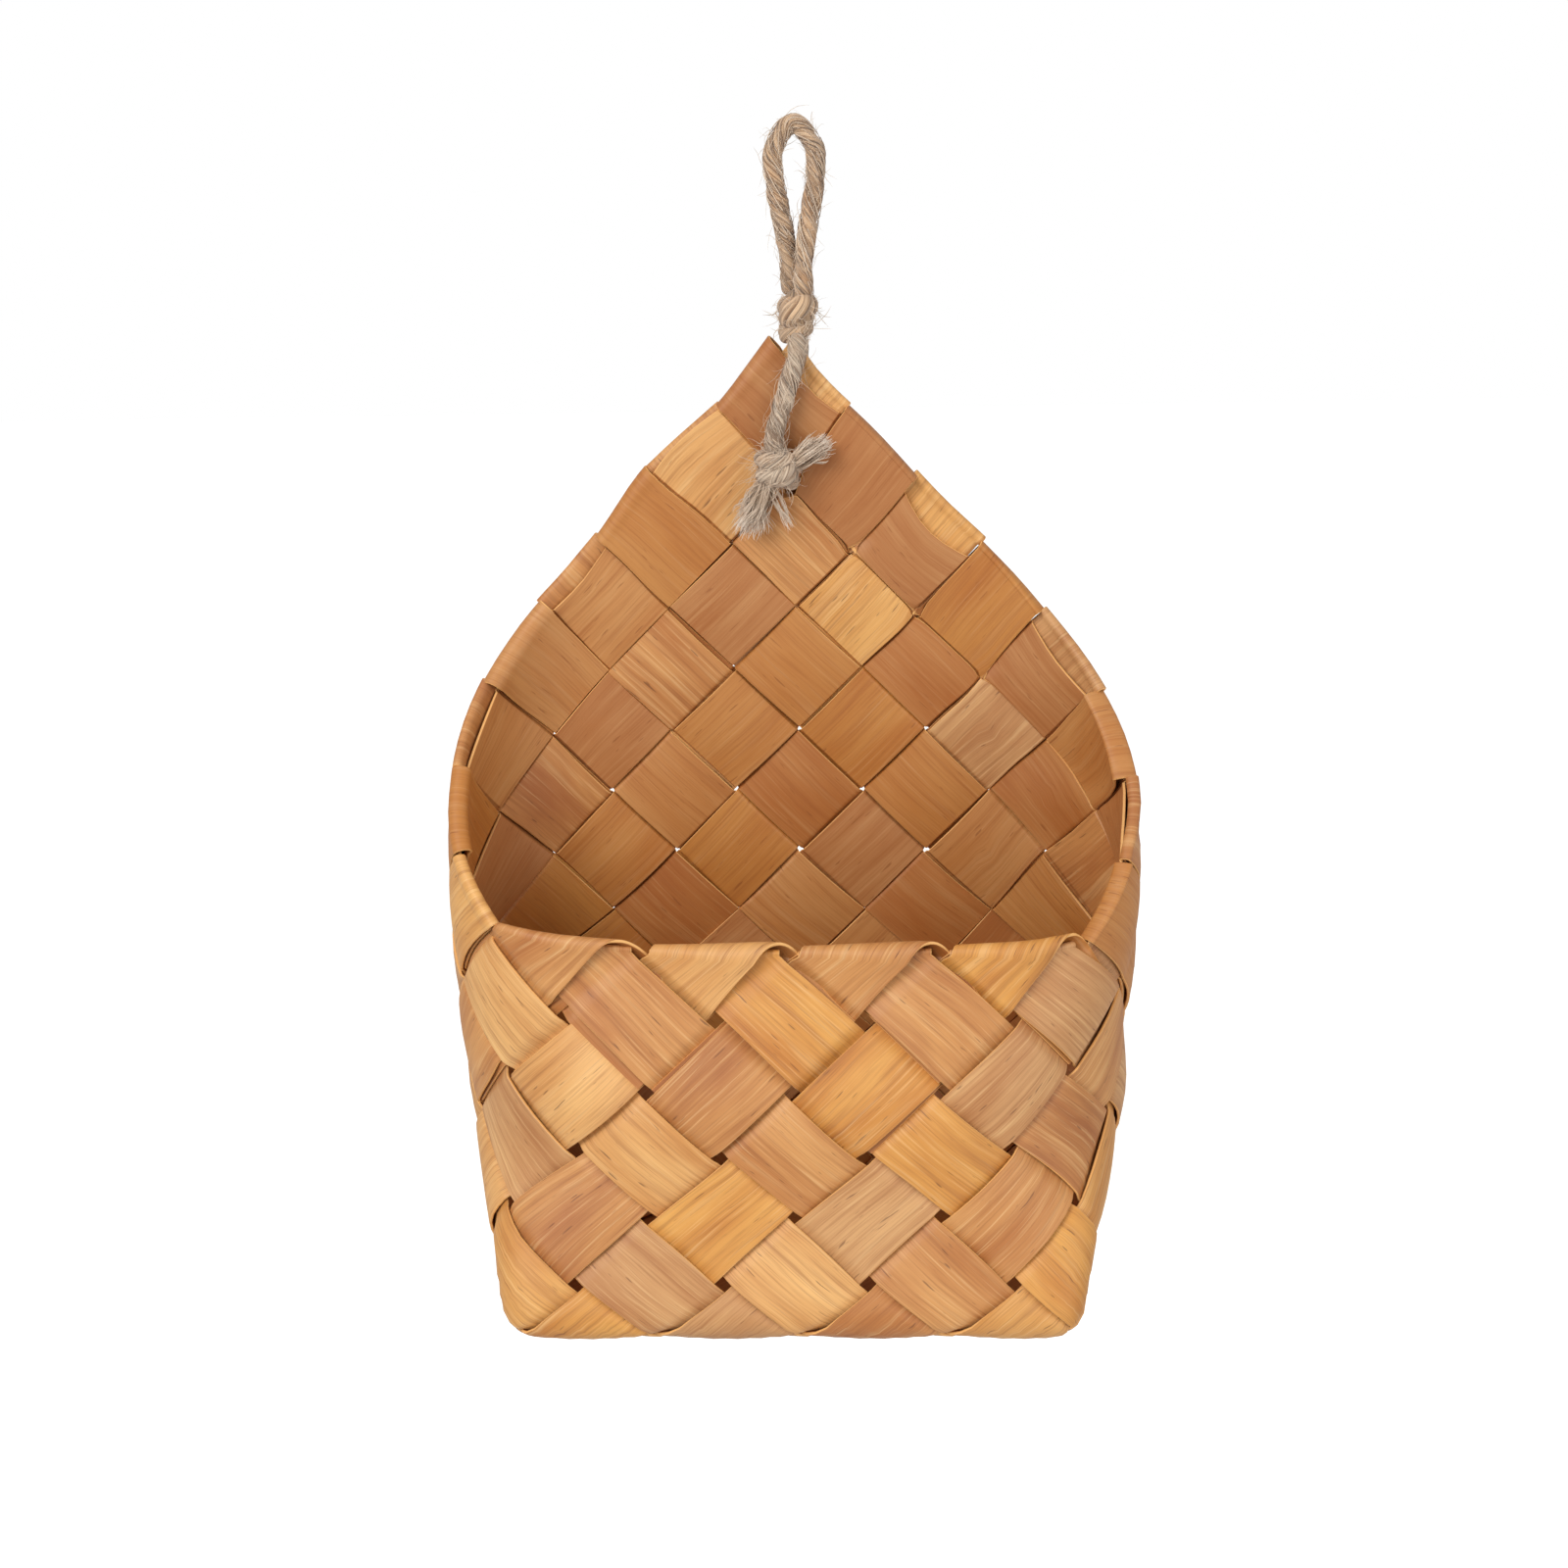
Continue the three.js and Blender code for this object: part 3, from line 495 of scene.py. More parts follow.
def add_ball_fuzz(skin, centre, radii, count, rng, longest):
    """Stray fibres all over a knot, lying round it."""
    for _ in range(count):
        out = unit(rng.normal(size=3))
        direction = unit(np.cross(out, rng.normal(size=3))) + out * rng.uniform(0, 0.5)
        length = BALL_FUZZ_SHORTEST + (longest - BALL_FUZZ_SHORTEST) * rng.uniform() ** 2
        root = centre + out * radii * BALL_FUZZ_ROOT
        add_fibre(skin, curled(root, direction, length, rng, 1.8 + rng.normal() * 0.8),
                  rng.uniform(0.04, 0.09) * MM)


def add_core(skin, centre, radii):
    """Rounded body that fills a knot behind its turns."""
    shape = (CORE_ROWS, CORE_RING)
    up = np.linspace(-math.pi / 2, math.pi / 2, CORE_ROWS)
    around = full_turn(CORE_RING)
    rings = centre + radii * np.stack([
        np.cos(up)[:, None] * np.cos(around), np.cos(up)[:, None] * np.sin(around),
        np.broadcast_to(np.sin(up)[:, None], shape)], axis=-1)
    # The whole core is marked half deep in a crease, so the jute paints shade on it, behind the turns
    skin.add(rings, up * radii[2], np.broadcast_to(around * radii[0], shape), np.full(shape, 0.5))


def turns_round(centre, radii, heights, start, turns, tilt):
    """Line of a cord that winds round an upright knot from one height to another."""
    share = np.linspace(0, 1, int(turns * TURN_STEPS))
    angle = start + 2 * math.pi * turns * share
    inwards = 1 - TUCK * (1 - smooth(np.minimum(share, 1 - share) / TUCK_SHARE))
    x = radii[0] * np.cos(angle) * inwards
    y = radii[1] * np.sin(angle) * inwards
    z = heights[0] + (heights[1] - heights[0]) * share + tilt * x
    return centre + np.stack([x, y, z], axis=-1)


def add_bundle(skin, root, root_radius, way, length, spread, clumps, rng, strand):
    """Frayed end: clumps of fibre that leave a cord side by side and spread to a brush."""
    way = unit(np.array(way, float))
    depth = unit(np.array([0, 1, 0]) - way * way[1])
    across = np.cross(way, depth)
    share = np.linspace(0, 1, CLUMP_POINTS)[:, None]
    bow = way * length * CLUMP_BOW * np.sin(math.pi * share)
    for _ in range(clumps):
        radius, angle = math.sqrt(rng.uniform()), rng.uniform(0, 2 * math.pi)
        place = np.array([math.cos(angle), math.sin(angle)]) * radius
        reach = length * rng.uniform(0.72, 1.05)
        bend = rng.normal(size=2) * CLUMP_BEND
        for _ in range(FIBRES_IN_CLUMP):
            at = place + rng.normal(size=2) * CLUMP_ROOT
            end = place + rng.normal(size=2) * CLUMP_TIP + place * rng.uniform(-0.05, 0.2)
            start = root + root_radius * (across * at[0] + depth * at[1])
            tip = (root + way * reach * rng.uniform(0.86, 1.05)
                   + across * end[0] * spread[0] + depth * end[1] * spread[1])
            wave = bend + rng.normal(size=2) * FIBRE_BEND
            wave = wave * np.sin(share * math.pi * rng.uniform(1.2, 2))
            line = start + (tip - start) * share + bow + across * wave[:, :1] + depth * wave[:, 1:]
            add_fibre(skin, line, strand * rng.uniform(0.6, 1.3), rng.uniform(0, 0.45))


# The fibres lie at an angle to the cord. Noises: waves to the metre along and across, detail,
# roughness and shift
JUTE_LAY = 0.28
JUTE_PATCHES = (120, 120)
JUTE_NOISES = {
    "strands": ((75, 1150), 3.0, 0.6),
    "fibres": ((150, 4200), 2.0, 0.6),
    "gaps": ((60, 900), 2.0, 0.5, (3.1, 5.2)),
}

# Stains and painted shade: what they follow, where they set in and are full, their share and colour
JUTE_STAINS_AND_SHADE = [
    ("fibres", 0.5, 0.68, 0.5, (226, 206, 180)),
    ("patches", 0.48, 0.72, 0.4, (184, 132, 86)),
    # Painted shade: dark between the fibres and in the creases between the plies
    ("gaps", 0.6, 0.7, 0.75, (92, 66, 46)),
    ("shade_and_tone", 0.3, 0.75, 0.8, (74, 54, 38)),
]


def jute(name, light, dark):
    """Greyish tan fibres in fine lines, with painted shade between them and in the creases of the plies.
    """
    nodes = Nodes(bpy.data.materials.new(name))
    grain = nodes.grain()
    laid = nodes.add("ShaderNodeMapping", {"Vector": grain, "Rotation": (0, 0, JUTE_LAY)}).outputs[0]
    values = {layer: nodes.noise(laid, *facts) for layer, facts in JUTE_NOISES.items()}
    values["patches"] = nodes.noise(grain, JUTE_PATCHES, 2.0)
    values["shade_and_tone"] = nodes.mark("shade_and_tone")
    tone = nodes.ramp(values["strands"], (0.4, dark), (0.6, light))
    for layer, *facts in JUTE_STAINS_AND_SHADE:
        tone = nodes.tint(tone, values[layer], *facts)
    height = nodes.math("ADD", values["strands"], nodes.math("MULTIPLY", values["fibres"], 0.6))
    height = nodes.math("SUBTRACT", height, nodes.step(values["gaps"], 0.58, 0.7))
    nodes.shade(Base_Color=tone, Roughness=0.92, Sheen_Weight=0.25, Sheen_Roughness=0.5,
                Normal=nodes.bump(1.0, 0.6 * MM, height))
    return nodes.owner


def loose_jute(name):
    """Loosened fibres, paler than the cord, each with its own tone along it."""
    nodes = Nodes(bpy.data.materials.new(name))
    tones = nodes.noise(nodes.grain(), (90, 700), 2.0)
    tone = nodes.ramp(tones, (0.35, (208, 182, 154)), (0.62, (244, 230, 212)))
    # For loose fibres this mark is each fibre's own random tone, with no shade
    tone = nodes.cover(nodes.math("MULTIPLY", nodes.mark("shade_and_tone"), 0.85), tone, (128, 98, 74))
    nodes.shade(Base_Color=tone, Roughness=0.85, Sheen_Weight=0.3)
    return nodes.owner


def loop_route():
    """From inside the knot up one side, over the top and down the other side."""
    foot = KNOT_TOP + CORD_GAP
    straight, widest = LOOP_SHARES[1], LOOP_SHARES[3]

    def placed(side):
        route = [(LOOP_TO_MIDDLE + side * LOOP_FOOT_APART, -side * LOOP_FOOT_DEPTH, foot - INTO_KNOT)]
        for share in LOOP_SHARES:
            opened = onset(share, straight, widest - straight)
            apart = LOOP_FOOT_APART + (LOOP_HALF_WIDTH - LOOP_FOOT_APART) * opened
            behind = LOOP_FOOT_DEPTH * (1 - opened)
            route.append((LOOP_TO_MIDDLE + side * apart, -side * behind,
                          foot + (LOOP_TOP - foot) * share))
        return route

    return [*placed(-1), (LOOP_TO_MIDDLE, 0, LOOP_TOP), *placed(1)[::-1]]


def front_route():
    """From inside the upper knot down over the apex into the lower knot."""
    end = LOWER_KNOT_TO_MIDDLE
    return [
        (LOOP_TO_MIDDLE, -LANE + LEAN, STRAND_TOP + INTO_KNOT),
        (LOOP_TO_MIDDLE, -LANE, STRAND_TOP),
        (LOOP_TO_MIDDLE, -LANE, STRAND_TOP - STRAIGHT_END),
        ((LOOP_TO_MIDDLE + end) / 2, (LOWER_Y - LANE) / 2, (STRAND_TOP + LOWER_TOP) / 2),
        (end, LOWER_Y, LOWER_TOP + STRAIGHT_END),
        (end, LOWER_Y, LOWER_TOP),
        (end, LOWER_Y, LOWER_TOP - INTO_KNOT),
    ]


def back_route():
    """From inside the upper knot down behind the back and through the gap of the plait."""
    radius = CORD_DIAMETER / 2
    return [
        (LOOP_TO_MIDDLE, LANE - LEAN, STRAND_TOP + INTO_KNOT),
        (LOOP_TO_MIDDLE, LANE, STRAND_TOP),
        (LOOP_TO_MIDDLE, LANE, STRAND_TOP - STRAIGHT_END),
        (LOOP_TO_MIDDLE / 2, LANE, (STRAND_TOP + HOLE_HEIGHT) / 2),
        (0, LANE, HOLE_HEIGHT + 3 * radius),
        (0, LANE - radius / 2, HOLE_HEIGHT + radius),
        (0, STACK, HOLE_HEIGHT),
        (0, 0, HOLE_HEIGHT),
        (0, -STACK - CORD_GAP / 2, HOLE_HEIGHT),
        (LOWER_KNOT_TO_MIDDLE / 2, LOWER_Y + radius / 2, HOLE_HEIGHT + radius),
    ]


def add_cord_piece(skin, name, material, *nodes):
    piece = skin.piece(name, material)
    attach(piece, "root")
    if nodes:
        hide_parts(*nodes)
    return piece


# Turns of the knots: offset of their middle, radii, and first and last height, all in mm, then
# the first angle in half turns, the turns, their tilt, the cord's thickness and its plies' phase.
# The big turn of the upper knot climbs to the right in front, over a smaller one. Those of the
# lower knot lie round the strand, and a short one shows its end in front
HIGH_TURNS = [
    ((0, 0, 1.6), (2.1, 4), (-1, 1), -1.25, 1.5, 0.5, 1.5, 0.4),
    ((-0.6, 0, -4.6), (2.9, 4.2), (-0.6, 0.6), -1.3, 1.2, 0.25, 0.95, 1.1),
]
LOW_TURNS = [
    ((0, 0, 0), (3.7, 3.4), (-3.9, 3.6), -1.2, 1.7, -0.3, 1.05, 1),
    ((1.6, -2.2, -1.2), (2.1, 2.6), (-1.4, 1.4), 0.6, 1.1, 0.5, 0.8, 0.3),
]

# Radii of the knots' cores and of the fuzz round them, in mm, and the lower knot's shift
HIGH_CORE, HIGH_FUZZ = (4.8, 6.6, 7), (5.8, 7.5, 7.2)
LOW_CORE, LOW_FUZZ = (5.2, 5, 5.8), (5.8, 5.8, 6.2)
LOW_ASIDE = mm(0.4, 0, 0)


def add_knot(node, centre, core, turns, twist, material):
    """Turns of cord round a core."""
    skin = Skin()
    add_core(skin, centre, mm(*core))
    for offset, radii, heights, start, count, tilt, thickness, phase in turns:
        line = turns_round(centre + mm(*offset), mm(*radii), mm(*heights), start * math.pi, count, tilt)
        add_twisted(skin, line, twist, thickness, phase)
    return add_cord_piece(skin, f"jute_{node}", material, node)


# Frayed ends: where they start inside the lower knot, and their bundles: radius at the root in
# mm, way, share of the end's length, spread in mm, clumps, and thickness of a strand in mm. The
# low end hangs to the left with a few stray clumps, the high one points up to the right
END_IN_KNOT = 2.6 * MM
LOW_ROOT = LOW_KNOT + [-2.8 * MM, 0, END_IN_KNOT - LOWER_KNOT_LENGTH / 2]
HIGH_ROOT = LOW_KNOT + mm(3, 1, -1)
LOW_BUNDLES = [
    (2.6, (-0.42, -0.03, -1), 1, (4.4, 2.8), 24, 0.14),
    (1.4, (0.55, -0.05, -1), 0.9, (1.2, 1.4), 4, 0.1),
    (2, (-0.85, -0.05, -0.85), 0.85, (1.8, 2), 4, 0.1),
]
HIGH_BUNDLES = [(2.2, (0.78, -0.05, 0.6), 1, (3.5, 3), 26, 0.16)]


def add_frayed_end(node, root, length, bundles, material, rng):
    skin = Skin()
    for radius, way, share, spread, clumps, strand in bundles:
        add_bundle(skin, root, radius * MM, way, (length + END_IN_KNOT) * share, mm(*spread), clumps,
                   rng, strand * MM)
    return add_cord_piece(skin, f"jute_{node}", material, node)


def add_knot_fuzz(knot, centre, radii, count, longest, material, rng):
    skin = Skin()
    add_ball_fuzz(skin, centre, mm(*radii), count, rng, longest)
    return add_cord_piece(skin, f"jute_{knot}_fuzz", material)


# Laid fibres to each step of a cord
LAID_FIBRES = 1.6


def add_cord(node, route, twist, hairs, pieces, material, loose, rng):
    line = smooth_path(np.array(route) - ORIGIN)
    skin, fuzz = Skin(), Skin()
    add_twisted(skin, line, twist, phase=len(node) * 0.4)
    cord = add_cord_piece(skin, f"jute_{node}", material, node)
    add_fuzz(fuzz, line, hairs, rng)
    add_laid_fibres(fuzz, line, twist, int(len(line) * LAID_FIBRES), rng)
    pieces = [*pieces, add_cord_piece(fuzz, f"jute_{node}_fuzz", loose)]


def add_cords():
    rng = np.random.default_rng(11)
    cool = jute("jute", (230, 208, 182), (150, 122, 98))
    warm = jute("warm_jute", (222, 186, 148), (136, 100, 70))
    loose = loose_jute("loose_jute")
    on_front = [
        add_knot("lower_knot", LOW_KNOT + LOW_ASIDE, LOW_CORE, LOW_TURNS, STRAND_TWIST, cool),
        add_frayed_end("frayed_end_low", LOW_ROOT, TASSEL_LENGTH, LOW_BUNDLES, loose, rng),
        add_frayed_end("frayed_end_high", HIGH_ROOT, STUB_LENGTH, HIGH_BUNDLES, loose, rng),
        add_knot_fuzz("lower_knot", LOW_KNOT, LOW_FUZZ, 380, 10 * MM, loose, rng),
    ]
    on_back = [
        add_knot("loop_knot", HIGH_KNOT, HIGH_CORE, HIGH_TURNS, LOOP_TWIST, warm),
        add_knot_fuzz("loop_knot", HIGH_KNOT, HIGH_FUZZ, 200, 8 * MM, loose, rng),
    ]
    add_cord("hanging_loop", loop_route(), LOOP_TWIST, 260, [], warm, loose, rng)
    add_cord("front_strand", front_route(), STRAND_TWIST, 190, on_front, cool, loose, rng)
    add_cord("back_strand", back_route()[::-1], STRAND_TWIST, 60, on_back, cool, loose, rng)


add_cords()


# The sheet of the plait, folded and rounded into a basket. Same formulas as the solids.

def level_at(v):
    upper = np.clip(np.searchsorted(LEVELS[:, 0], v, side="right"), 1, len(LEVELS) - 1)
    low, high = LEVELS[upper - 1], LEVELS[upper]
    t = onset(v, low[..., 0], high[..., 0] - low[..., 0])
    mixed = low + (high - low) * t[..., None]
    return [mixed[..., i] for i in range(1, LEVELS.shape[1])]


def from_back(u):
    turn = APEX_AROUND - u
    return turn - AROUND * np.round(turn / AROUND)


def bowed_wall(u, v):
    """Points of the wall at u cells round it and v cells up it."""
    depth, front, back, wide, narrow = level_at(v)
    side = from_back(u)
    run = np.abs(side)
    flat = FRONT_CELLS / 2
    between = (wide + narrow) / 2
    arc = CELL * (np.minimum(run, flat) * narrow + np.clip(run - flat, 0, SIDE_CELLS) * between
                  + np.maximum(run - flat - SIDE_CELLS, 0) * wide)
    half = (flat * (narrow + wide) + SIDE_CELLS * between) * CELL
    quarter = math.pi / 2
    back_end = (half - depth + (2 - quarter) * (front + back)) / 2 - back
    side_start = back_end + quarter * back
    side_end = side_start + depth - back - front
    front_start = side_end + quarter * front
    back_turn = np.clip((arc - back_end) / back, 0, quarter)
    front_turn = np.clip((arc - side_end) / front, 0, quarter)
    across = (np.minimum(arc, back_end) + back * np.sin(back_turn)
              - front * (1 - np.cos(front_turn)) - np.maximum(arc - front_start, 0))
    forward = (back * (1 - np.cos(back_turn)) + np.clip(arc - side_start, 0, side_end - side_start)
               + front * np.sin(front_turn))
    front_share = np.clip((run - flat) / SIDE_CELLS, 0, 1)
    rise = BACK_ROW_RISE + (FRONT_ROW_RISE - BACK_ROW_RISE) * front_share
    return np.stack([np.sign(side) * across, -forward, v * rise * CELL], axis=-1) - ORIGIN


def rounded_box(on_wall, a, b):
    """Points of the small rounded box that the foot of the bowl and its base follow."""
    width = FRONT_CELLS / 2
    side = from_back(a)
    run = np.abs(side)
    across = np.where(run < width, run, np.minimum(width, AROUND / 2 - run))
    forward = np.clip(run - width, 0, SIDE_CELLS)
    corner = np.stack([
        np.where(on_wall, np.sign(side) * across, a - width),
        np.where(on_wall, -forward, b - SIDE_CELLS),
        np.where(on_wall, b, 0),
    ], axis=-1) * CELL
    low = np.array([BASE_FILLET - width * CELL, BASE_FILLET - SIDE_CELLS * CELL, BASE_FILLET])
    high = np.array([width * CELL - BASE_FILLET, -BASE_FILLET, math.inf])
    inner = np.clip(corner, low, high)
    return inner + unit(corner - inner) * BASE_FILLET - [0, BASE_SET_FORWARD, 0] - ORIGIN


def open_hole(points, centre, hole, reach):
    """Pushes the sheet away from a corner of four squares, until the gap there has a width."""
    offset = points - centre
    distance = np.maximum(np.linalg.norm(offset, axis=-1, keepdims=True), 1e-9)
    corner = (PITCH - SPLINT_WIDTH * BACK_FILL) * math.sqrt(0.5)
    push = (hole * math.sqrt(0.5) - corner) / (1 - corner / reach) ** 2
    return points + offset / distance * push * np.clip(1 - distance / reach, 0, None) ** 2


# Small gaps near the right border that daylight shows through: squares to the right of the gap
# for the cord and rows under it
GAPS = [(0.5, 0.5), (1, 1), (1.5, 1.5), (1.5, 2), (2, 2.5), (1.5, 3)]
GAP_WIDTH = 2.8 * MM
GAP_REACH = 12 * MM


def opened(points):
    points = open_hole(points, HOLE_CENTRE, CORD_HOLE, HOLE_REACH)
    for right, down in GAPS:
        centre = bowed_wall(np.array(APEX_AROUND - right), np.array(CORD_LEVEL - down))
        points = open_hole(points, centre, GAP_WIDTH, GAP_REACH)
    return points


# A hand-made basket is never quite even: slow waves move the whole sheet by up to a millimetre
UNEVENNESS = 0.45 * MM
WAVES = np.random.default_rng(7).normal(size=(6, 3)) / (38 * MM)

# The right border is drawn in and down between its third and sixth folds. Widths are in squares
# from the border. A band starts at a row and grows over so many rows, down where negative
DRAWN_IN = 1.9 * MM
DRAWN_DOWN = 2.6 * MM
DRAWN_WIDTH = 2
DRAWN_BELOW, DRAWN_ABOVE, DRAWN_IN_ABOVE = (APEX_LEVEL - 0.5, -0.8), (3.3, 0.8), (3.9, 1.6)
SIDE_DRAWN_IN = 2.2 * MM
SIDE_WIDTH = 1.6
SIDE_BELOW, SIDE_ABOVE = (5.6, -0.8), (3.2, 0.6)

# The rim's left end is drawn up, and so is the front foot under the base
CORNER_RAISED = 4.2 * MM
CORNER_REACH = 30 * MM
RIM_CORNER = bowed_wall(np.array(0.0), np.array(float(RIM_CELLS)))
BASE_RAISED = 4 * MM
BASE_BELOW = (0.55, -0.55)

# Sideways shifts of the left and the right outline, in mm to the right, by height in rows
OUTLINE_ROWS = (0, 0.5, 0.8, 1.4, 2, 2.6, 3.1, 3.5, 3.8, 4.5, 4.9, 5.2, 5.6, 5.9, 6.2, 6.6)
LEFT_SHIFTS = (1, -0.8, -2.6, -2.6, -2.6, -1.4, -0.4, 0.4, 1.2, 2.3, 2.6, 3, 0.8, -1.6, -1.8, 0)
RIGHT_SHIFTS = (-2.4, -1, 0.6, -0.2, -2, -1.8, -1.6, -2, 0, -0.4, -0.2, 0, -0.8, -1.4, -2.2, -3.8)

# Squares from the middle at which a shift sets in and over which it grows, low and at the apex
SHIFT_FROM = (1.2, 0.9)
APEX_SHIFT_FROM = (-0.1, 0.4)


def uneven(points):
    waves = UNEVENNESS * np.array([
        np.sin(points @ wave + 5 * number) for number, wave in enumerate(WAVES)])
    across = (points[..., 0] + LOOP_TO_MIDDLE) / CELL
    level = (points[..., 2] + HANG_HEIGHT) / (BACK_ROW_RISE * CELL)
    to_left, to_right = APEX_LEVEL - level + across, APEX_LEVEL - level - across
    drawn = onset(to_right, DRAWN_WIDTH, -1) * onset(level, *DRAWN_BELOW) * onset(level, *DRAWN_ABOVE)
    side = onset(to_right, SIDE_WIDTH, -1) * onset(level, *SIDE_BELOW) * onset(level, *SIDE_ABOVE)
    raised = np.exp(-(np.linalg.norm(points - RIM_CORNER, axis=-1) / CORNER_REACH) ** 2)
    left = np.maximum(onset(-across, *SHIFT_FROM), onset(to_left, 1, -1))
    right = np.maximum(onset(across, *SHIFT_FROM),
                       onset(to_right, 1, -1) * onset(across, *APEX_SHIFT_FROM))
    outline = MM * (left * np.interp(level, OUTLINE_ROWS, LEFT_SHIFTS)
                    + right * np.interp(level, OUTLINE_ROWS, RIGHT_SHIFTS))
    drawn_in = DRAWN_IN * drawn * onset(level, *DRAWN_IN_ABOVE) + SIDE_DRAWN_IN * side
    lifted = CORNER_RAISED * raised + BASE_RAISED * onset(level, *BASE_BELOW) - DRAWN_DOWN * drawn
    return points + np.stack([waves[0] + waves[1] + outline - drawn_in, waves[2] + waves[3],
                              waves[4] + waves[5] + lifted], axis=-1)


def surface(on_wall, a, b):
    wall = opened(bowed_wall(a, b))
    share = np.where(on_wall, smooth(b / BOWL_BLEND_LEVEL), 0)[..., None]
    return uneven(rounded_box(on_wall, a, b) * (1 - share) + wall * share)


# The course of each splint over the sheet, and its layer at every crossing

def wrap_line(value, low):
    return value - AROUND * np.floor((value - low) / AROUND)


def unfold_on_base(foot, u, v):
    if foot > AROUND - SIDE_CELLS:
        return -v, AROUND - u
    if foot > FRONT_CELLS + SIDE_CELLS:
        return AROUND - SIDE_CELLS - u, SIDE_CELLS + v
    if foot > FRONT_CELLS:
        return FRONT_CELLS + v, u - FRONT_CELLS
    return u, -v


def climb_side(family, line):
    """Side of the base that a splint climbs again, once it has crossed the base."""
    foot = wrap_line(line, 0)
    lean = -1 if family == "A" else 1
    x, y = unfold_on_base(foot, foot, 0)
    next_x, next_y = unfold_on_base(foot, foot + lean, -1)
    to_end = FRONT_CELLS - x if next_x > x else x
    to_face = SIDE_CELLS - y if next_y > y else y
    if to_end < to_face:
        return "right" if next_x > x else "left"
    return "back" if next_y > y else "front"


# How far a splint wanders from its line, and a small step along it, both in pitches
WANDER = 0.01
PROBE = 0.01
# The border edge of the splint along each border strays outwards, or inwards where negative, at
# its crossings from the apex down, in pitches
RIGHT_SWAY = (-0.1, -0.03, -0.25, -0.04, -0.16, -0.02, -0.04, 0, 0)
LEFT_SWAY = (0, 0.11, 0.03, -0.03, 0.03, -0.02, 0.02, -0.03, 0)

# The splint that folds first along the rim, on the left, strays up at the rim
FIRST_RIM_SWAY = -0.09


class Course:
    """One splint's way from its first end, down a wall, over the base and up another wall."""

    def __init__(self, family, line):
        self.family = family
        self.line = line
        self.climbs = climb_side(family, line)
        self.phase = line * 1.7 + (family == "A")
        self.start = 0
        self.sways = np.zeros((2, 2))

    def astray(self, t, w):
        """Where w lies once the splint has wandered from its line and its edges have strayed."""
        at = np.clip(t - self.start, 0, len(self.sways) - 1)
        low = np.minimum(np.floor(at).astype(int), len(self.sways) - 2)
        share = smooth(at - low)
        wander = WANDER * (np.sin(1.3 * t + self.phase) + 0.6 * np.sin(2.9 * t + 2 * self.phase))
        for edge, side in ((0, -1), (1, 1)):
            sway = self.sways[low, edge] * (1 - share) + self.sways[low + 1, edge] * share
            w = w + sway * np.clip(1 + side * w / HALF, 0, 2) / 2
        return w + wander

    def edge_sways(self, t):
        """How far the two edges stray at a crossing, in the direction that w counts."""
        family, (on_wall, a, b), _ = self.crossing(t)
        sways = [0.0, 0.0]
        if not on_wall:
            return sways
        k, m, v = lines_at(a, b)
        _, beside_a, beside_b = self.place(np.array(float(t)), 0.1)
        number = min(round((APEX_LEVEL - 0.5 - v) * 2), len(RIGHT_SWAY) - 1)
        if family == "A" and k == RIGHT_EDGE + 0.5:
            side = int(np.sign((a - b) - (beside_a - beside_b)))
            sways[side > 0] = RIGHT_SWAY[number] * side
        if family == "B" and m == LEFT_EDGE - 0.5:
            side = int(np.sign((beside_a + beside_b) - (a + b)))
            sways[side > 0] = LEFT_SWAY[number] * side
        if family == "A" and k == 0.5 - RIM_CELLS and v > RIM_CELLS - 1:
            sways = [FIRST_RIM_SWAY, FIRST_RIM_SWAY]
        return sways

    def place(self, t, w):
        """Places at t crossings along the splint and w across it: on the wall or not, and
        two coordinates, round and up the wall or across and back over the base."""
        if self.family == "A":
            total, difference = -t + 0 * w, self.line + w + 0 * t
        else:
            total, difference = self.line + w + 0 * t, t + 0 * w
        u, v = (total + difference) / 2, (total - difference) / 2
        foot = wrap_line(self.line, 0)
        x, y = unfold_on_base(foot, u + foot - self.line, v)
        over, climbed_u, climbed_v = {
            "left": (x < 0, AROUND - y, -x),
            "right": (x > FRONT_CELLS, FRONT_CELLS + y, x - FRONT_CELLS),
            "front": (y < 0, x, -y),
            "back": (y > SIDE_CELLS, AROUND - SIDE_CELLS - x, y - SIDE_CELLS),
        }[self.climbs]
        wall = v >= 0
        a = np.where(wall, u, np.where(over, climbed_u, x))
        b = np.where(wall, v, np.where(over, climbed_v, y))
        return wall | over, a, b

    def crossing(self, t):
        """Family here, its place, and whether the splint climbs, at its middle."""
        (on_wall, a, b), before, after = (
            [float(value) for value in self.place(np.array(t + step), 0.0)]
            for step in (0, -PROBE, PROBE))
        if not on_wall:
            same = np.sign(before[1] - a) == np.sign(before[2] - b)
            return "difference" if same else "sum", (False, a, b), False
        rising = bool(after[0]) and after[2] > b
        other = after if rising else before
        same = np.sign(other[1] - a) == np.sign(other[2] - b)
        return "A" if same else "B", (True, a, b), rising


def lines_at(u, v):
    """The two lines that cross at a place of the wall, and its height, in half squares."""
    def rounded(value):
        return round(value * 2) / 2
    return wrap_line(rounded(u - v), -RIM_CELLS), wrap_line(rounded(u + v), RIM_CELLS), rounded(v)


def line_of(family, place):
    k, m, _ = lines_at(*place[1:])
    return k if family == "A" else m

def ends_at_rim(family, line):
    return line < (RIGHT_EDGE if family == "A" else FRONT_CELLS + RIM_CELLS)


def top_level(family, line):
    if ends_at_rim(family, line):
        return RIM_CELLS
    return (LEFT_EDGE - 0.5 - line) / 2 if family == "A" else (line - RIGHT_EDGE - 0.5) / 2


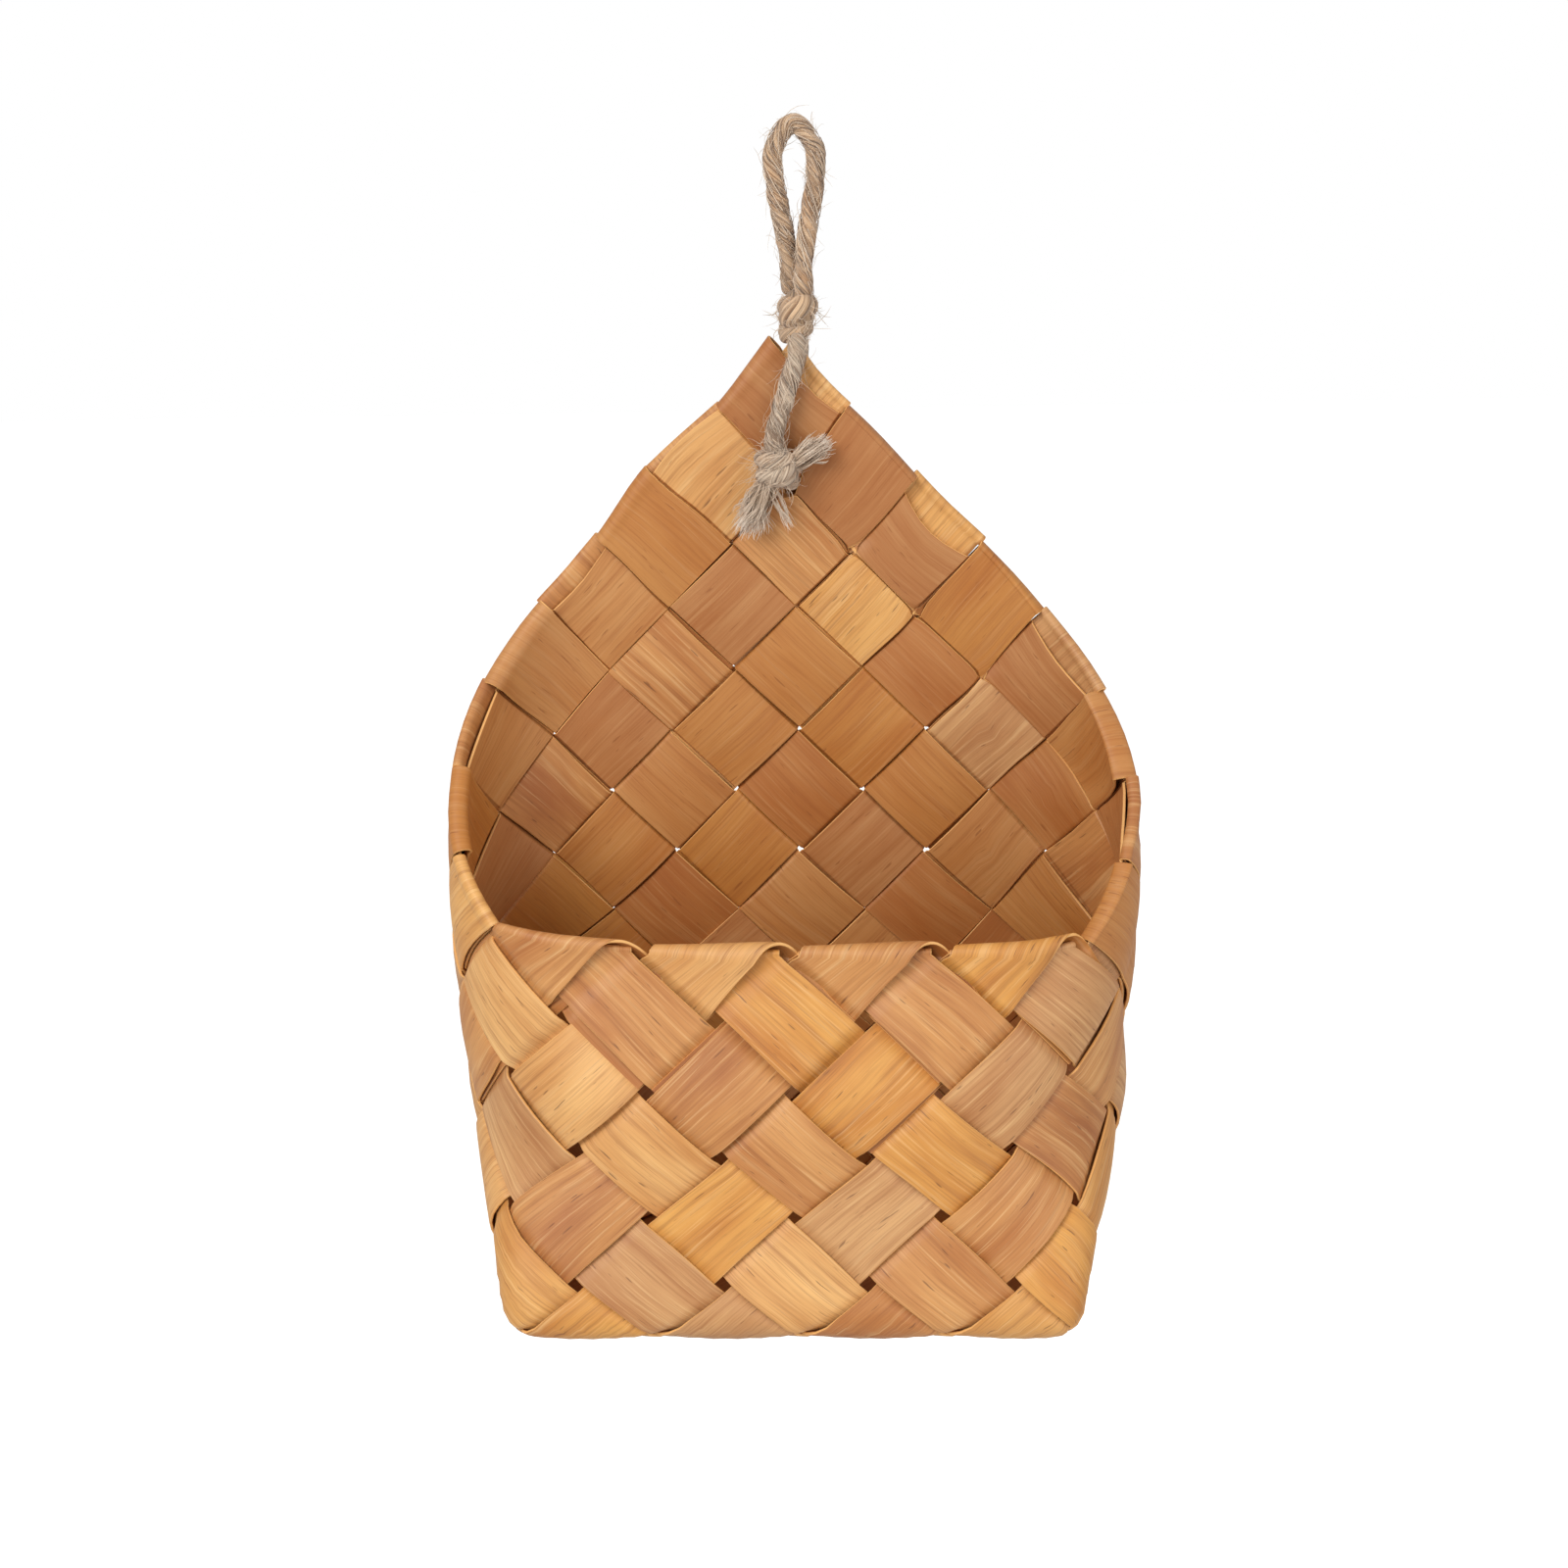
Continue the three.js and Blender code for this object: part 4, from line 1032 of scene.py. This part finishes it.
def tail_beside(family, line, v):
    """Where a folded tail lies beside the splint that it follows. Small letters are tails."""
    tail = family.lower()
    if ends_at_rim(family, line):
        tucked = v == RIM_CELLS - 0.5 or (family == "A" and v == RIM_CELLS - 1)
        return ("b" if family == "A" else "a", "in") if tucked else None
    top = top_level(family, line)
    crossing = (top - v) * 2
    if not 0 <= crossing < EDGE_TAIL_CROSSINGS:
        return None
    if (top % 1 == 0) == (family == "A"):
        return tail, "in"
    return tail, "wrap" if crossing == 0 else "out"


def layers_at(place):
    """The layers of a crossing, from the outside in."""
    on_wall, a, b = place
    if not on_wall:
        return ["sum", "difference"] if round(b * 2) % 2 == 0 else ["difference", "sum"]
    k, m, v = lines_at(a, b)
    if v == RIM_CELLS and ends_at_rim("A", k):
        return ["A", "B", "b", "a"]
    layers = []
    for family in ("AB" if v % 1 == 0 else "BA"):
        tail = tail_beside(family, k if family == "A" else m, v)
        if tail and tail[1] == "out":
            layers.append(tail[0])
        layers.append(family)
        if tail and tail[1] == "in":
            layers.append(tail[0])
        if tail and tail[1] == "wrap":
            layers.insert(0, tail[0])
    return layers


# Over each crossing the outermost splint bulges out and the innermost one in, less at its edges
BULGE = 0.9 * MM
BULGE_TAPER = 0.35

# Where the back's and the front's widths set in and over how much they grow: in squares from the
# back's middle and in rows, down where negative
BACK_SIDES, BACK_ROWS = (3.5, -2), (-0.5, 1)
FRONT_SIDES, FRONT_ROWS = (3.5, 0.8), (0.4, 1.4)


def half_width(place):
    """Half a splint's width at a place, in pitches of the plait."""
    on_wall, a, b = place
    if not on_wall:
        return HALF
    k, m, v = lines_at(a, b)
    if v > RIM_CELLS and (k == RIGHT_EDGE + 0.5 or m == LEFT_EDGE - 0.5):
        return BORDER_HALF
    aside = abs(from_back(a))
    back = BACK_FILL - 1 + FOOT_FILL * onset(b, RIM_CELLS, -1)
    back = back * onset(aside, *BACK_SIDES) * onset(b, *BACK_ROWS)
    front = (FRONT_FILL - 1) * onset(b, *FRONT_ROWS) * onset(aside, *FRONT_SIDES)
    return HALF * float(1 + back + front)


def seat(name, place):
    """Height of a layer over the middle of the sheet, how far it bulges, and its half width."""
    layers = layers_at(place)
    index = layers.index(name)
    height = ((len(layers) - 1) / 2 - index) * LAYER_STEP
    bulge = BULGE if index == 0 else -BULGE if index == len(layers) - 1 else 0
    return height, bulge, half_width(place)


def lift(depth, seats, column):
    """Height of a splint at a depth from the first seat, smooth from crossing to crossing."""
    heights, bulges, halves = np.array(seats).T
    last = len(seats) - 1
    flatter = 1 - BULGE_TAPER * column ** 2
    near = np.clip(np.round(depth), 0, last).astype(int)
    off = np.clip((depth - near) / halves[near], -1, 1)
    on_seat = heights[near] + bulges[near] * flatter * (1 - off ** 2)
    low = np.clip(np.floor(depth), 0, last).astype(int)
    high = np.minimum(low + 1, last)
    gap = 1 - halves[low] - halves[high]
    s = np.clip((depth - low - halves[low]) / gap, 0, 1)
    slope = 2 * flatter * gap
    between = hermite(s, heights[low], -slope * bulges[low] / halves[low],
                      heights[high], slope * bulges[high] / halves[high])
    crossing_gap = (np.abs(depth - near) > halves[near]) & (depth > 0) & (depth < last)
    return np.where(crossing_gap, between, on_seat)


# A point inside the pocket, the columns of points across a splint in half widths, how far each
# lies to the right of the left edge in widths, and a small step for slopes
INSIDE = np.array([0, -36.5 * MM, RIM_CELLS * CELL / 2]) - ORIGIN
COLUMNS = np.array([-1, -0.985, -0.93, -0.75, -0.4, 0, 0.4, 0.75, 0.93, 0.985, 1])
TO_RIGHT = (COLUMNS + 1) / 2
STEP = 1e-3


def frames(place, depth, w):
    """Points, outward normals and directions along the splint, for a place lookup."""
    points = surface(*place(depth, w))
    along = unit(surface(*place(depth + STEP, w)) - surface(*place(depth - STEP, w)))
    across = unit(surface(*place(depth, w + STEP)) - surface(*place(depth, w - STEP)))
    normal = unit(np.cross(along, across))
    outward = np.sum(normal * (points - INSIDE), axis=-1, keepdims=True)
    return points, normal * np.sign(outward), along


# Where a splint has rows of points: over each seat, in half widths from the seat's middle, and in
# the gap between two seats, in shares of it. A rolled fold has this many steps
ROWS_PER_SEAT = np.array([-1, -0.93, -0.7, -0.35, 0, 0.35, 0.7, 0.93, 1])
GAP_ROWS = np.array([0.3, 0.7])
ROLL_STEPS = 14

# The wraps just above the rim stand off the inside this many times further than the others
LOOSE_WRAP = 2.4
LOOSE_BELOW, LOOSE_ABOVE = (4.9, -0.6), (3.4, 0.4)

# A fold is a loose tube: it swells past its layers, and it eases up over this share of the splint
FOLD_SWELL = 0.9 * MM
FOLD_EASE = 0.9


def depths_over(halves):
    """Depths from the first edge of the first seat to the last edge of the last one."""
    depths = []
    for number, half in enumerate(halves):
        depths.extend(number + half * ROWS_PER_SEAT)
        if number + 1 < len(halves):
            depths.extend(number + half + (1 - half - halves[number + 1]) * GAP_ROWS)
    return np.array(depths)


def halves_of(seats):
    return np.array([half for _, _, half in seats])


def spring_of(name, place):
    """How far a layer springs away from the others at a fold: outwards, inwards or not at all."""
    layers = layers_at(place)
    loose = 1 + LOOSE_WRAP * onset(place[2], *LOOSE_BELOW) * onset(place[2], *LOOSE_ABOVE)
    return FOLD_SPRING * ((layers[0] == name) - loose * (layers[-1] == name))


def eased(distance):
    """Share of a fold's spring at a distance, in pitches, from the fold."""
    return np.clip(1 - distance / FOLD_EASE, 0, 1) ** 2


# The arches of the rim's folds: how far down they start in pitches, how far they reach to the
# right behind, and how far the right edge of each fold stands back to the left
RIM_ARCH = 0.11
ARCH_ADVANCES = (7.5 * MM, 4.5 * MM, 4.5 * MM, 4 * MM)
ROLL_ADVANCE = 2.4 * MM
RIM_RETREATS = (5.5 * MM, 4.5 * MM, 4 * MM, 6 * MM)
RETREAT_FADE = 0.85

# On the right the folds behind the border's splint stand further out than the wraps round it
ROLL_SHARE = 1.5
WRAP_SHARE = 0.8

# Folds round the borders are pressed a little wider than the splints, and the rim's folds that
# don't arch swell by a share of what the others do
FOLD_FILL = 1.015
FLAT_FOLD_SWELL = 0.3


# Crossings under a tail at the rim, by the family of its splint
RIM_TAIL_CROSSINGS = {"A": 2, "B": 3}

# Where the arches' spring sets in across a splint and over how much it grows, in half widths
LIP_FROM = (-0.6, 1.6)


def heading(place, aside, up):
    """Direction over the wall at a place: round it to the right or up it."""
    wall, a, b = place
    return unit(surface(wall, a + aside, b + up) - surface(wall, a - aside, b - up))


class End:
    """One folded end of a splint, and how its fold was bent by hand."""

    def __init__(self, course, at, inward, seats):
        self.course, self.at, self.inward, self.seats = course, at, inward, seats
        self.family, self.here, _ = course.crossing(at)
        self.at_rim = ends_at_rim(self.family, line_of(self.family, self.here))
        self.arches = self.at_rim and self.family == "A"
        self.number = round(course.line + RIM_CELLS - 0.5)
        self.half = seats[0][2]

        # The share of the arch and of the fold's spring in each column
        self.opening = self.arches * TO_RIGHT ** 2
        self.lip = 2 * onset(COLUMNS, *LIP_FROM) if self.arches else 0 * COLUMNS + (not self.at_rim)
        self.spring = spring_of(self.family, self.here) * self.lip

        # The depth in each column where the tail ends and where the splint itself starts
        edge = np.full(len(COLUMNS), -self.half)
        if self.at_rim:
            falls = self.place(np.array(0.0), np.array(HALF))[2] < RIM_CELLS
            edge = (-1 if falls else 1) * COLUMNS * self.half
        self.tail_edge, self.edge = edge - RIM_ARCH * self.opening, edge + RIM_ARCH * self.opening

        layers = layers_at(self.here)
        outside = layers.index(self.family) < len(layers) / 2
        reach = RIGHT_OVERHANG * (ROLL_SHARE if outside else WRAP_SHARE)
        rng = np.random.default_rng(int(abs(course.line) * 20 + (at > 0) + 7))
        self.reach = (LEFT_OVERHANG if self.family == "A" else reach) * rng.uniform(0.92, 1.08)
        self.swell = FOLD_SWELL * rng.uniform(0.7, 1.5)
        self.slant = rng.uniform(-0.35, 0.35)
        self.drift = rng.uniform(-0.022, 0.022)

    def place(self, depth, w):
        t = self.at + self.inward * depth
        return self.course.place(t, self.course.astray(t, w))

    def over_rim(self, depth, w):
        """Place in a tail at the rim: what would stand above the rim is folded down."""
        on_wall, a, b = self.place(depth, w)
        return on_wall, a, 2 * RIM_CELLS - b

    def retreat(self, depth):
        """Shift to the left, near the rim, of the right part of a splint that arches over it."""
        fade = np.clip(1 - (depth - self.edge) / RETREAT_FADE, 0, 1)
        right = heading(self.course.place(np.array(float(self.at)), np.array(0.0)), STEP, 0)
        return -right * (RIM_RETREATS[self.number] * (self.opening * fade))[..., None]

    def rows(self):
        """Rows of points from the tip of the tail over the fold to the splint itself."""
        tail, tail_height = self.tail()
        height = lift(self.edge, self.seats, COLUMNS) + self.spring
        return tail + (self.arch(tail[-1][0], height) if self.arches else self.roll(tail_height, height))

    def tail(self):
        """Rows of the tail, and its height over the sheet where the fold starts."""
        name = self.family.lower()
        place, side = (self.over_rim, -1) if self.at_rim else (self.place, 1)
        count = RIM_TAIL_CROSSINGS[self.family] if self.at_rim else EDGE_TAIL_CROSSINGS
        at = [place(np.array(float(side * number)), np.array(0.0)) for number in range(count)]
        seats = [seat(name, tuple(float(value) for value in item)) for item in at]
        halves = halves_of(seats)
        depth = side * depths_over(halves)[::-1][:, None] + 0 * COLUMNS
        if self.at_rim:
            share = (depth + 1) / (1 + self.half)
            depth = np.where(share > 0, -1 + share * (self.tail_edge + 1), depth)
        away = side * (depth - self.tail_edge)
        height = (lift(side * depth, seats, COLUMNS)
                  + spring_of(name, self.here) * self.lip * eased(away))
        width = np.interp(np.abs(depth), np.arange(count), halves)
        points, normal, _ = frames(place, depth, COLUMNS * width + self.drift * away)
        points = points + normal * height[..., None]
        if self.arches:
            advance = ROLL_ADVANCE + (ARCH_ADVANCES[self.number] - ROLL_ADVANCE) * self.opening
            right = heading(self.place(np.array(0.0), np.array(0.0)), STEP, 0)
            points = points + right * (advance * eased(away))[..., None]
        return list(zip(points, -normal)), height[-1]

    def arch(self, tail, height):
        """Open fold: it leaves the splint, arches over to the right and comes down to the tail."""
        points, normal, _ = frames(self.place, self.edge, COLUMNS * self.half)
        body = points + normal * height[:, None] + self.retreat(self.edge)
        middle = self.place(np.array(0.0), np.array(0.0))
        right, up = heading(middle, STEP, 0), heading(middle, 0, STEP)
        reach = (RIM_OVERHANG + LIP_RISE * TO_RIGHT + OUTER_LAYER
                 + RIM_ARCH * self.opening * PITCH * math.sqrt(0.5))
        sideways = ((body - tail) @ right)[:, None] * right
        rest = body - tail - sideways
        points = np.array([
            tail + sideways * s + rest * smooth(s) + up * (4 * reach * s * (1 - s))[:, None]
            for s in np.linspace(0, 1, ROLL_STEPS + 1)])
        facing = unit(np.cross(np.gradient(points, axis=0), np.gradient(points, axis=1)))
        facing = facing * np.sign(np.sum(facing[-1] * normal))
        return list(zip(points, facing))[1:-1]

    def roll(self, tail_height, height):
        """Closed fold: half a turn round the edge, from the tail to the splint."""
        points, normal, along = frames(self.place, self.edge, COLUMNS * self.half * FOLD_FILL)
        middle, radius = (tail_height + height) / 2, (height - tail_height) / 2
        slanted = 1 + self.slant * COLUMNS
        out, reach, swell = -along, self.reach * slanted, self.swell * slanted
        if self.at_rim:
            _, a, b = self.place(self.edge, COLUMNS * self.half)
            out = heading((np.ones_like(a, bool), a, b), 0, STEP)
            reach, swell = RIM_OVERHANG + np.abs(radius), self.swell * FLAT_FOLD_SWELL
        swell = np.sign(radius) * swell
        rows = []
        for angle in np.linspace(math.pi, 0, ROLL_STEPS + 1)[1:-1]:
            sine, cosine = math.sin(angle), math.cos(angle)
            thick = radius + swell * sine
            thick_slope = swell * cosine * cosine - thick * sine
            rows.append((
                points + normal * (middle + thick * cosine)[:, None] + out * (reach * sine)[:, None],
                unit(normal * (reach * cosine)[:, None] - out * thick_slope[:, None]),
            ))
        return rows


def splint_rows(course):
    """Rows of points of a whole splint, and the family and line of its far end."""
    start = t = first_crossing(course)
    seats = []
    while True:
        family, here, rising = course.crossing(t)
        seats.append(seat(family, here))
        if rising and lines_at(*here[1:])[2] == top_level(family, line_of(family, here)):
            break
        t += 1
    count = len(seats)
    course.start = start
    course.sways = np.array([course.edge_sways(start + number) for number in range(count)])
    first, last = End(course, start, 1, seats), End(course, t, -1, seats[::-1])
    halves = halves_of(seats)
    depths = depths_over(halves)[:, None]
    share = (depths + halves[0]) / (2 * halves[0])
    depth = np.where(share < 1, first.edge + share * (halves[0] - first.edge), depths)
    share = (count - 1 + halves[-1] - depths) / (2 * halves[-1])
    depth = np.where(share < 1, count - 1 - last.edge - share * (halves[-1] - last.edge), depth)
    w = COLUMNS * np.interp(depth, np.arange(count), halves)
    points, normal, _ = frames(first.place, depth, w)
    if first.arches:
        points = points + first.retreat(depth)
    height = (lift(depth, seats, COLUMNS) + first.spring * eased(depth - first.edge)
              + last.spring * eased(count - 1 - last.edge - depth))
    middle = list(zip(points + normal * height[..., None], normal))
    return first.rows() + middle + last.rows()[::-1], (family, line_of(family, here))


def first_crossing(course):
    if course.family == "A":
        if ends_at_rim("A", course.line):
            return -(course.line + 2 * RIM_CELLS)
        return 0.5 - LEFT_EDGE
    if ends_at_rim("B", course.line):
        return course.line - 2 * RIM_CELLS
    return RIGHT_EDGE + 0.5


# The splints' edges are rounded, and their sharp edges are those past this angle
EDGE_ROUND = 0.2 * MM
SHARP_FROM = math.radians(38)


def add_splint(name, rows, material):
    """Closed strip with rounded edges, with its grain running along it."""
    centre, facing = (np.array(part) for part in zip(*rows))
    last = len(COLUMNS) - 1
    inner = last - 1
    face, edge = SPLINT_THICKNESS / 2, SPLINT_THICKNESS / 2 - EDGE_ROUND
    columns = np.r_[1:last, last, last, inner:0:-1, 0, 0]
    heights = np.array([face] * inner + [edge, -edge] + [-face] * inner + [-edge, edge])
    ring = centre[:, columns] + facing[:, columns] * heights[:, None]
    count, size = ring.shape[:2]
    run = run_along(centre)
    run = run - run[count // 2] + run[count // 2, len(COLUMNS) // 2]
    across = np.tile(COLUMNS[columns] * HALF * PITCH, count)
    marks = {"outer_side": np.tile(heights > 0, count),
             "cut_edge": np.tile((columns == 0) | (columns == last), count)}
    piece = make_mesh(name, ring.reshape(-1, 3), skin_faces(count, size), material,
                      np.stack([run[:, columns].ravel(), across], axis=-1), marks)
    close_ends(piece.data, count, size)
    piece.data.set_sharp_from_angle(angle=SHARP_FROM)
    return piece


def close_ends(mesh, count, size):
    shape = bmesh.new()
    shape.from_mesh(mesh)
    shape.verts.ensure_lookup_table()
    shape.faces.new([shape.verts[i] for i in range(size)])
    shape.faces.new([shape.verts[(count - 1) * size + i] for i in reversed(range(size))])
    bmesh.ops.recalc_face_normals(shape, faces=shape.faces)
    shape.to_mesh(mesh)
    shape.free()

# Noises of the wood, given like those of the jute, and the stains that follow them
WOOD_NOISES = {
    "patches": ((20, 60), 3.0),
    "streaks": ((15, 330), 4.0, 0.6),
    "lines": ((26, 1150), 3.0, 0.6, (4.2, 0.7)),
    "fibres": ((45, 2600), 3.0, 0.6),
    "flecks": ((130, 1100), 1.0),
}
WOOD_STAINS = [
    ("streaks", 0.5, 0.72, 0.42, (150, 88, 42)),
    ("streaks", 0.46, 0.3, 0.3, (234, 190, 130)),
    ("lines", 0.52, 0.7, 0.36, (142, 82, 38)),
    ("lines", 0.44, 0.32, 0.28, (240, 200, 142)),
    ("fibres", 0.48, 0.74, 0.38, (140, 84, 46)),
    ("flecks", 0.7, 0.76, 0.6, (96, 54, 30)),
]

# The grain wavers sideways in slow waves, by up to half of this to each side
WAVER_NOISE = ((16, 30), 1.0)
WAVER = 5 * MM

# Each splint's grain is moved by its number times this. Its tones are one of these pairs
WOOD_SHIFT = np.array([1.7, 0.31, 0.9])
WOOD_TONES = [
    ((226, 170, 98), (198, 132, 62)),
    ((212, 154, 92), (180, 114, 58)),
    ((230, 178, 112), (204, 142, 78)),
    ((204, 144, 82), (168, 102, 52)),
    ((224, 164, 84), (192, 122, 50)),
    ((210, 160, 106), (178, 120, 70)),
]
# Painted shade: the splints' inner faces take a share of a dark colour, as the pocket's inside gets less
# light
INNER_SHADE, INNER_SHADE_SHARE = (160, 88, 28), 0.55
# Painted highlight: the cut edges are lightened where they catch the light
CUT_EDGE_HIGHLIGHT = (232, 176, 106)


def wood(number):
    """Shaved wood: long grain in streaks, slow changes of tone, small dark flecks, painted shade on the
    inner faces and a painted highlight on the cut edges.
    """
    light, dark = WOOD_TONES[number % len(WOOD_TONES)]
    nodes = Nodes(bpy.data.materials.new(f"wood_{number:02d}"))
    moved = nodes.add("ShaderNodeMapping", {
        "Vector": nodes.grain(), "Location": WOOD_SHIFT * number}).outputs[0]
    waver = nodes.math("SUBTRACT", nodes.noise(moved, *WAVER_NOISE), 0.5)
    bend = nodes.add("ShaderNodeCombineXYZ", {"Y": nodes.math("MULTIPLY", waver, WAVER)}).outputs[0]
    flow = nodes.add("ShaderNodeVectorMath", {0: moved, 1: bend}, operation="ADD").outputs[0]
    values = {layer: nodes.noise(flow, *facts) for layer, facts in WOOD_NOISES.items()}
    tone = nodes.ramp(values["patches"], (0.32, dark), (0.68, light))
    for layer, *facts in WOOD_STAINS:
        tone = nodes.tint(tone, values[layer], *facts)
    # Painted shade on the inner faces
    inner = nodes.math("SUBTRACT", 1.0, nodes.mark("outer_side"))
    tone = nodes.cover(nodes.math("MULTIPLY", inner, INNER_SHADE_SHARE), tone, INNER_SHADE)
    # Painted highlight on the cut edges
    tone = nodes.cover(nodes.step(nodes.mark("cut_edge"), 0.25, 0.75), tone, CUT_EDGE_HIGHLIGHT)
    roughness = nodes.add("ShaderNodeMapRange", {
        "Value": values["fibres"], "To Min": 0.42, "To Max": 0.66}).outputs[0]
    height = nodes.math("ADD", nodes.math("MULTIPLY", values["streaks"], 0.5), values["fibres"])
    nodes.shade(Base_Color=tone, Roughness=roughness, Normal=nodes.bump(0.35, 0.2 * MM, height))
    return nodes.owner


def add_plait():
    ends = [("A", n + 0.5 - RIM_CELLS) for n in range(AROUND)]
    ends += [("B", n + 0.5 + RIM_CELLS) for n in range(AROUND)]
    far_ends = set()
    number = 0
    for end in ends:
        if end in far_ends:
            continue
        rows, far_end = splint_rows(Course(*end))
        far_ends.add(far_end)
        number += 1
        node = f"splint_{number:02d}"
        piece = add_splint(f"plaited_{node}", rows, wood(number))
        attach(piece, "root")
        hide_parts(node)


add_plait()


# Light, world and floor: a white studio whose world lights the basket less than the camera sees

WHITE = (1, 1, 1, 1)
WORLD_LIGHT = 0.55
FLOOR_GREY = (0.86, 0.86, 0.86, 1)
FLOOR_GLOW = 0.62
FLOOR_HALF = 6.0
FLOOR_LEVEL = -1.1
LAMP_AIM = Vector((0, -0.05, -0.18))


def add_area_light(name, place, size, power):
    data = bpy.data.lights.new(name, "AREA")
    data.size = size
    data.energy = power
    light = bpy.data.objects.new(name, data)
    light.location = place
    light.rotation_mode = "QUATERNION"
    light.rotation_quaternion = (LAMP_AIM - Vector(place)).to_track_quat("-Z", "Y")
    bpy.context.scene.collection.objects.link(light)


def add_world():
    world = bpy.data.worlds.new("world")
    bpy.context.scene.world = world
    nodes = Nodes(world)
    nodes.tree.nodes.clear()
    rays = nodes.add("ShaderNodeLightPath").outputs
    seen = nodes.math("MAXIMUM", rays["Is Camera Ray"], rays["Is Transmission Ray"])
    light, white = (nodes.add("ShaderNodeBackground", {"Color": WHITE, "Strength": strength}).outputs[0]
                    for strength in (WORLD_LIGHT, 1))
    mixed = nodes.add("ShaderNodeMixShader", {0: seen, 1: light, 2: white}).outputs[0]
    nodes.add("ShaderNodeOutputWorld", {0: mixed})


def add_floor():
    nodes = Nodes(bpy.data.materials.new("floor"))
    seen = nodes.add("ShaderNodeLightPath").outputs["Is Camera Ray"]
    nodes.shade(Base_Color=FLOOR_GREY, Roughness=0.9, Emission_Color=WHITE,
                Emission_Strength=nodes.math("MULTIPLY", seen, FLOOR_GLOW))
    corners = np.array([[-1, -1, 0], [1, -1, 0], [1, 1, 0], [-1, 1, 0]]) * FLOOR_HALF
    points = corners + [0, 0, FLOOR_LEVEL]
    make_mesh("floor", points, np.array([[0, 1, 2, 3]]), nodes.owner)


add_area_light("key", (-0.7, -1.1, 0.75), 0.9, 17)
add_area_light("fill", (1.1, -1.0, 0.1), 1.2, 7)
add_world()
add_floor()
bpy.context.scene.view_settings.view_transform = "Standard"
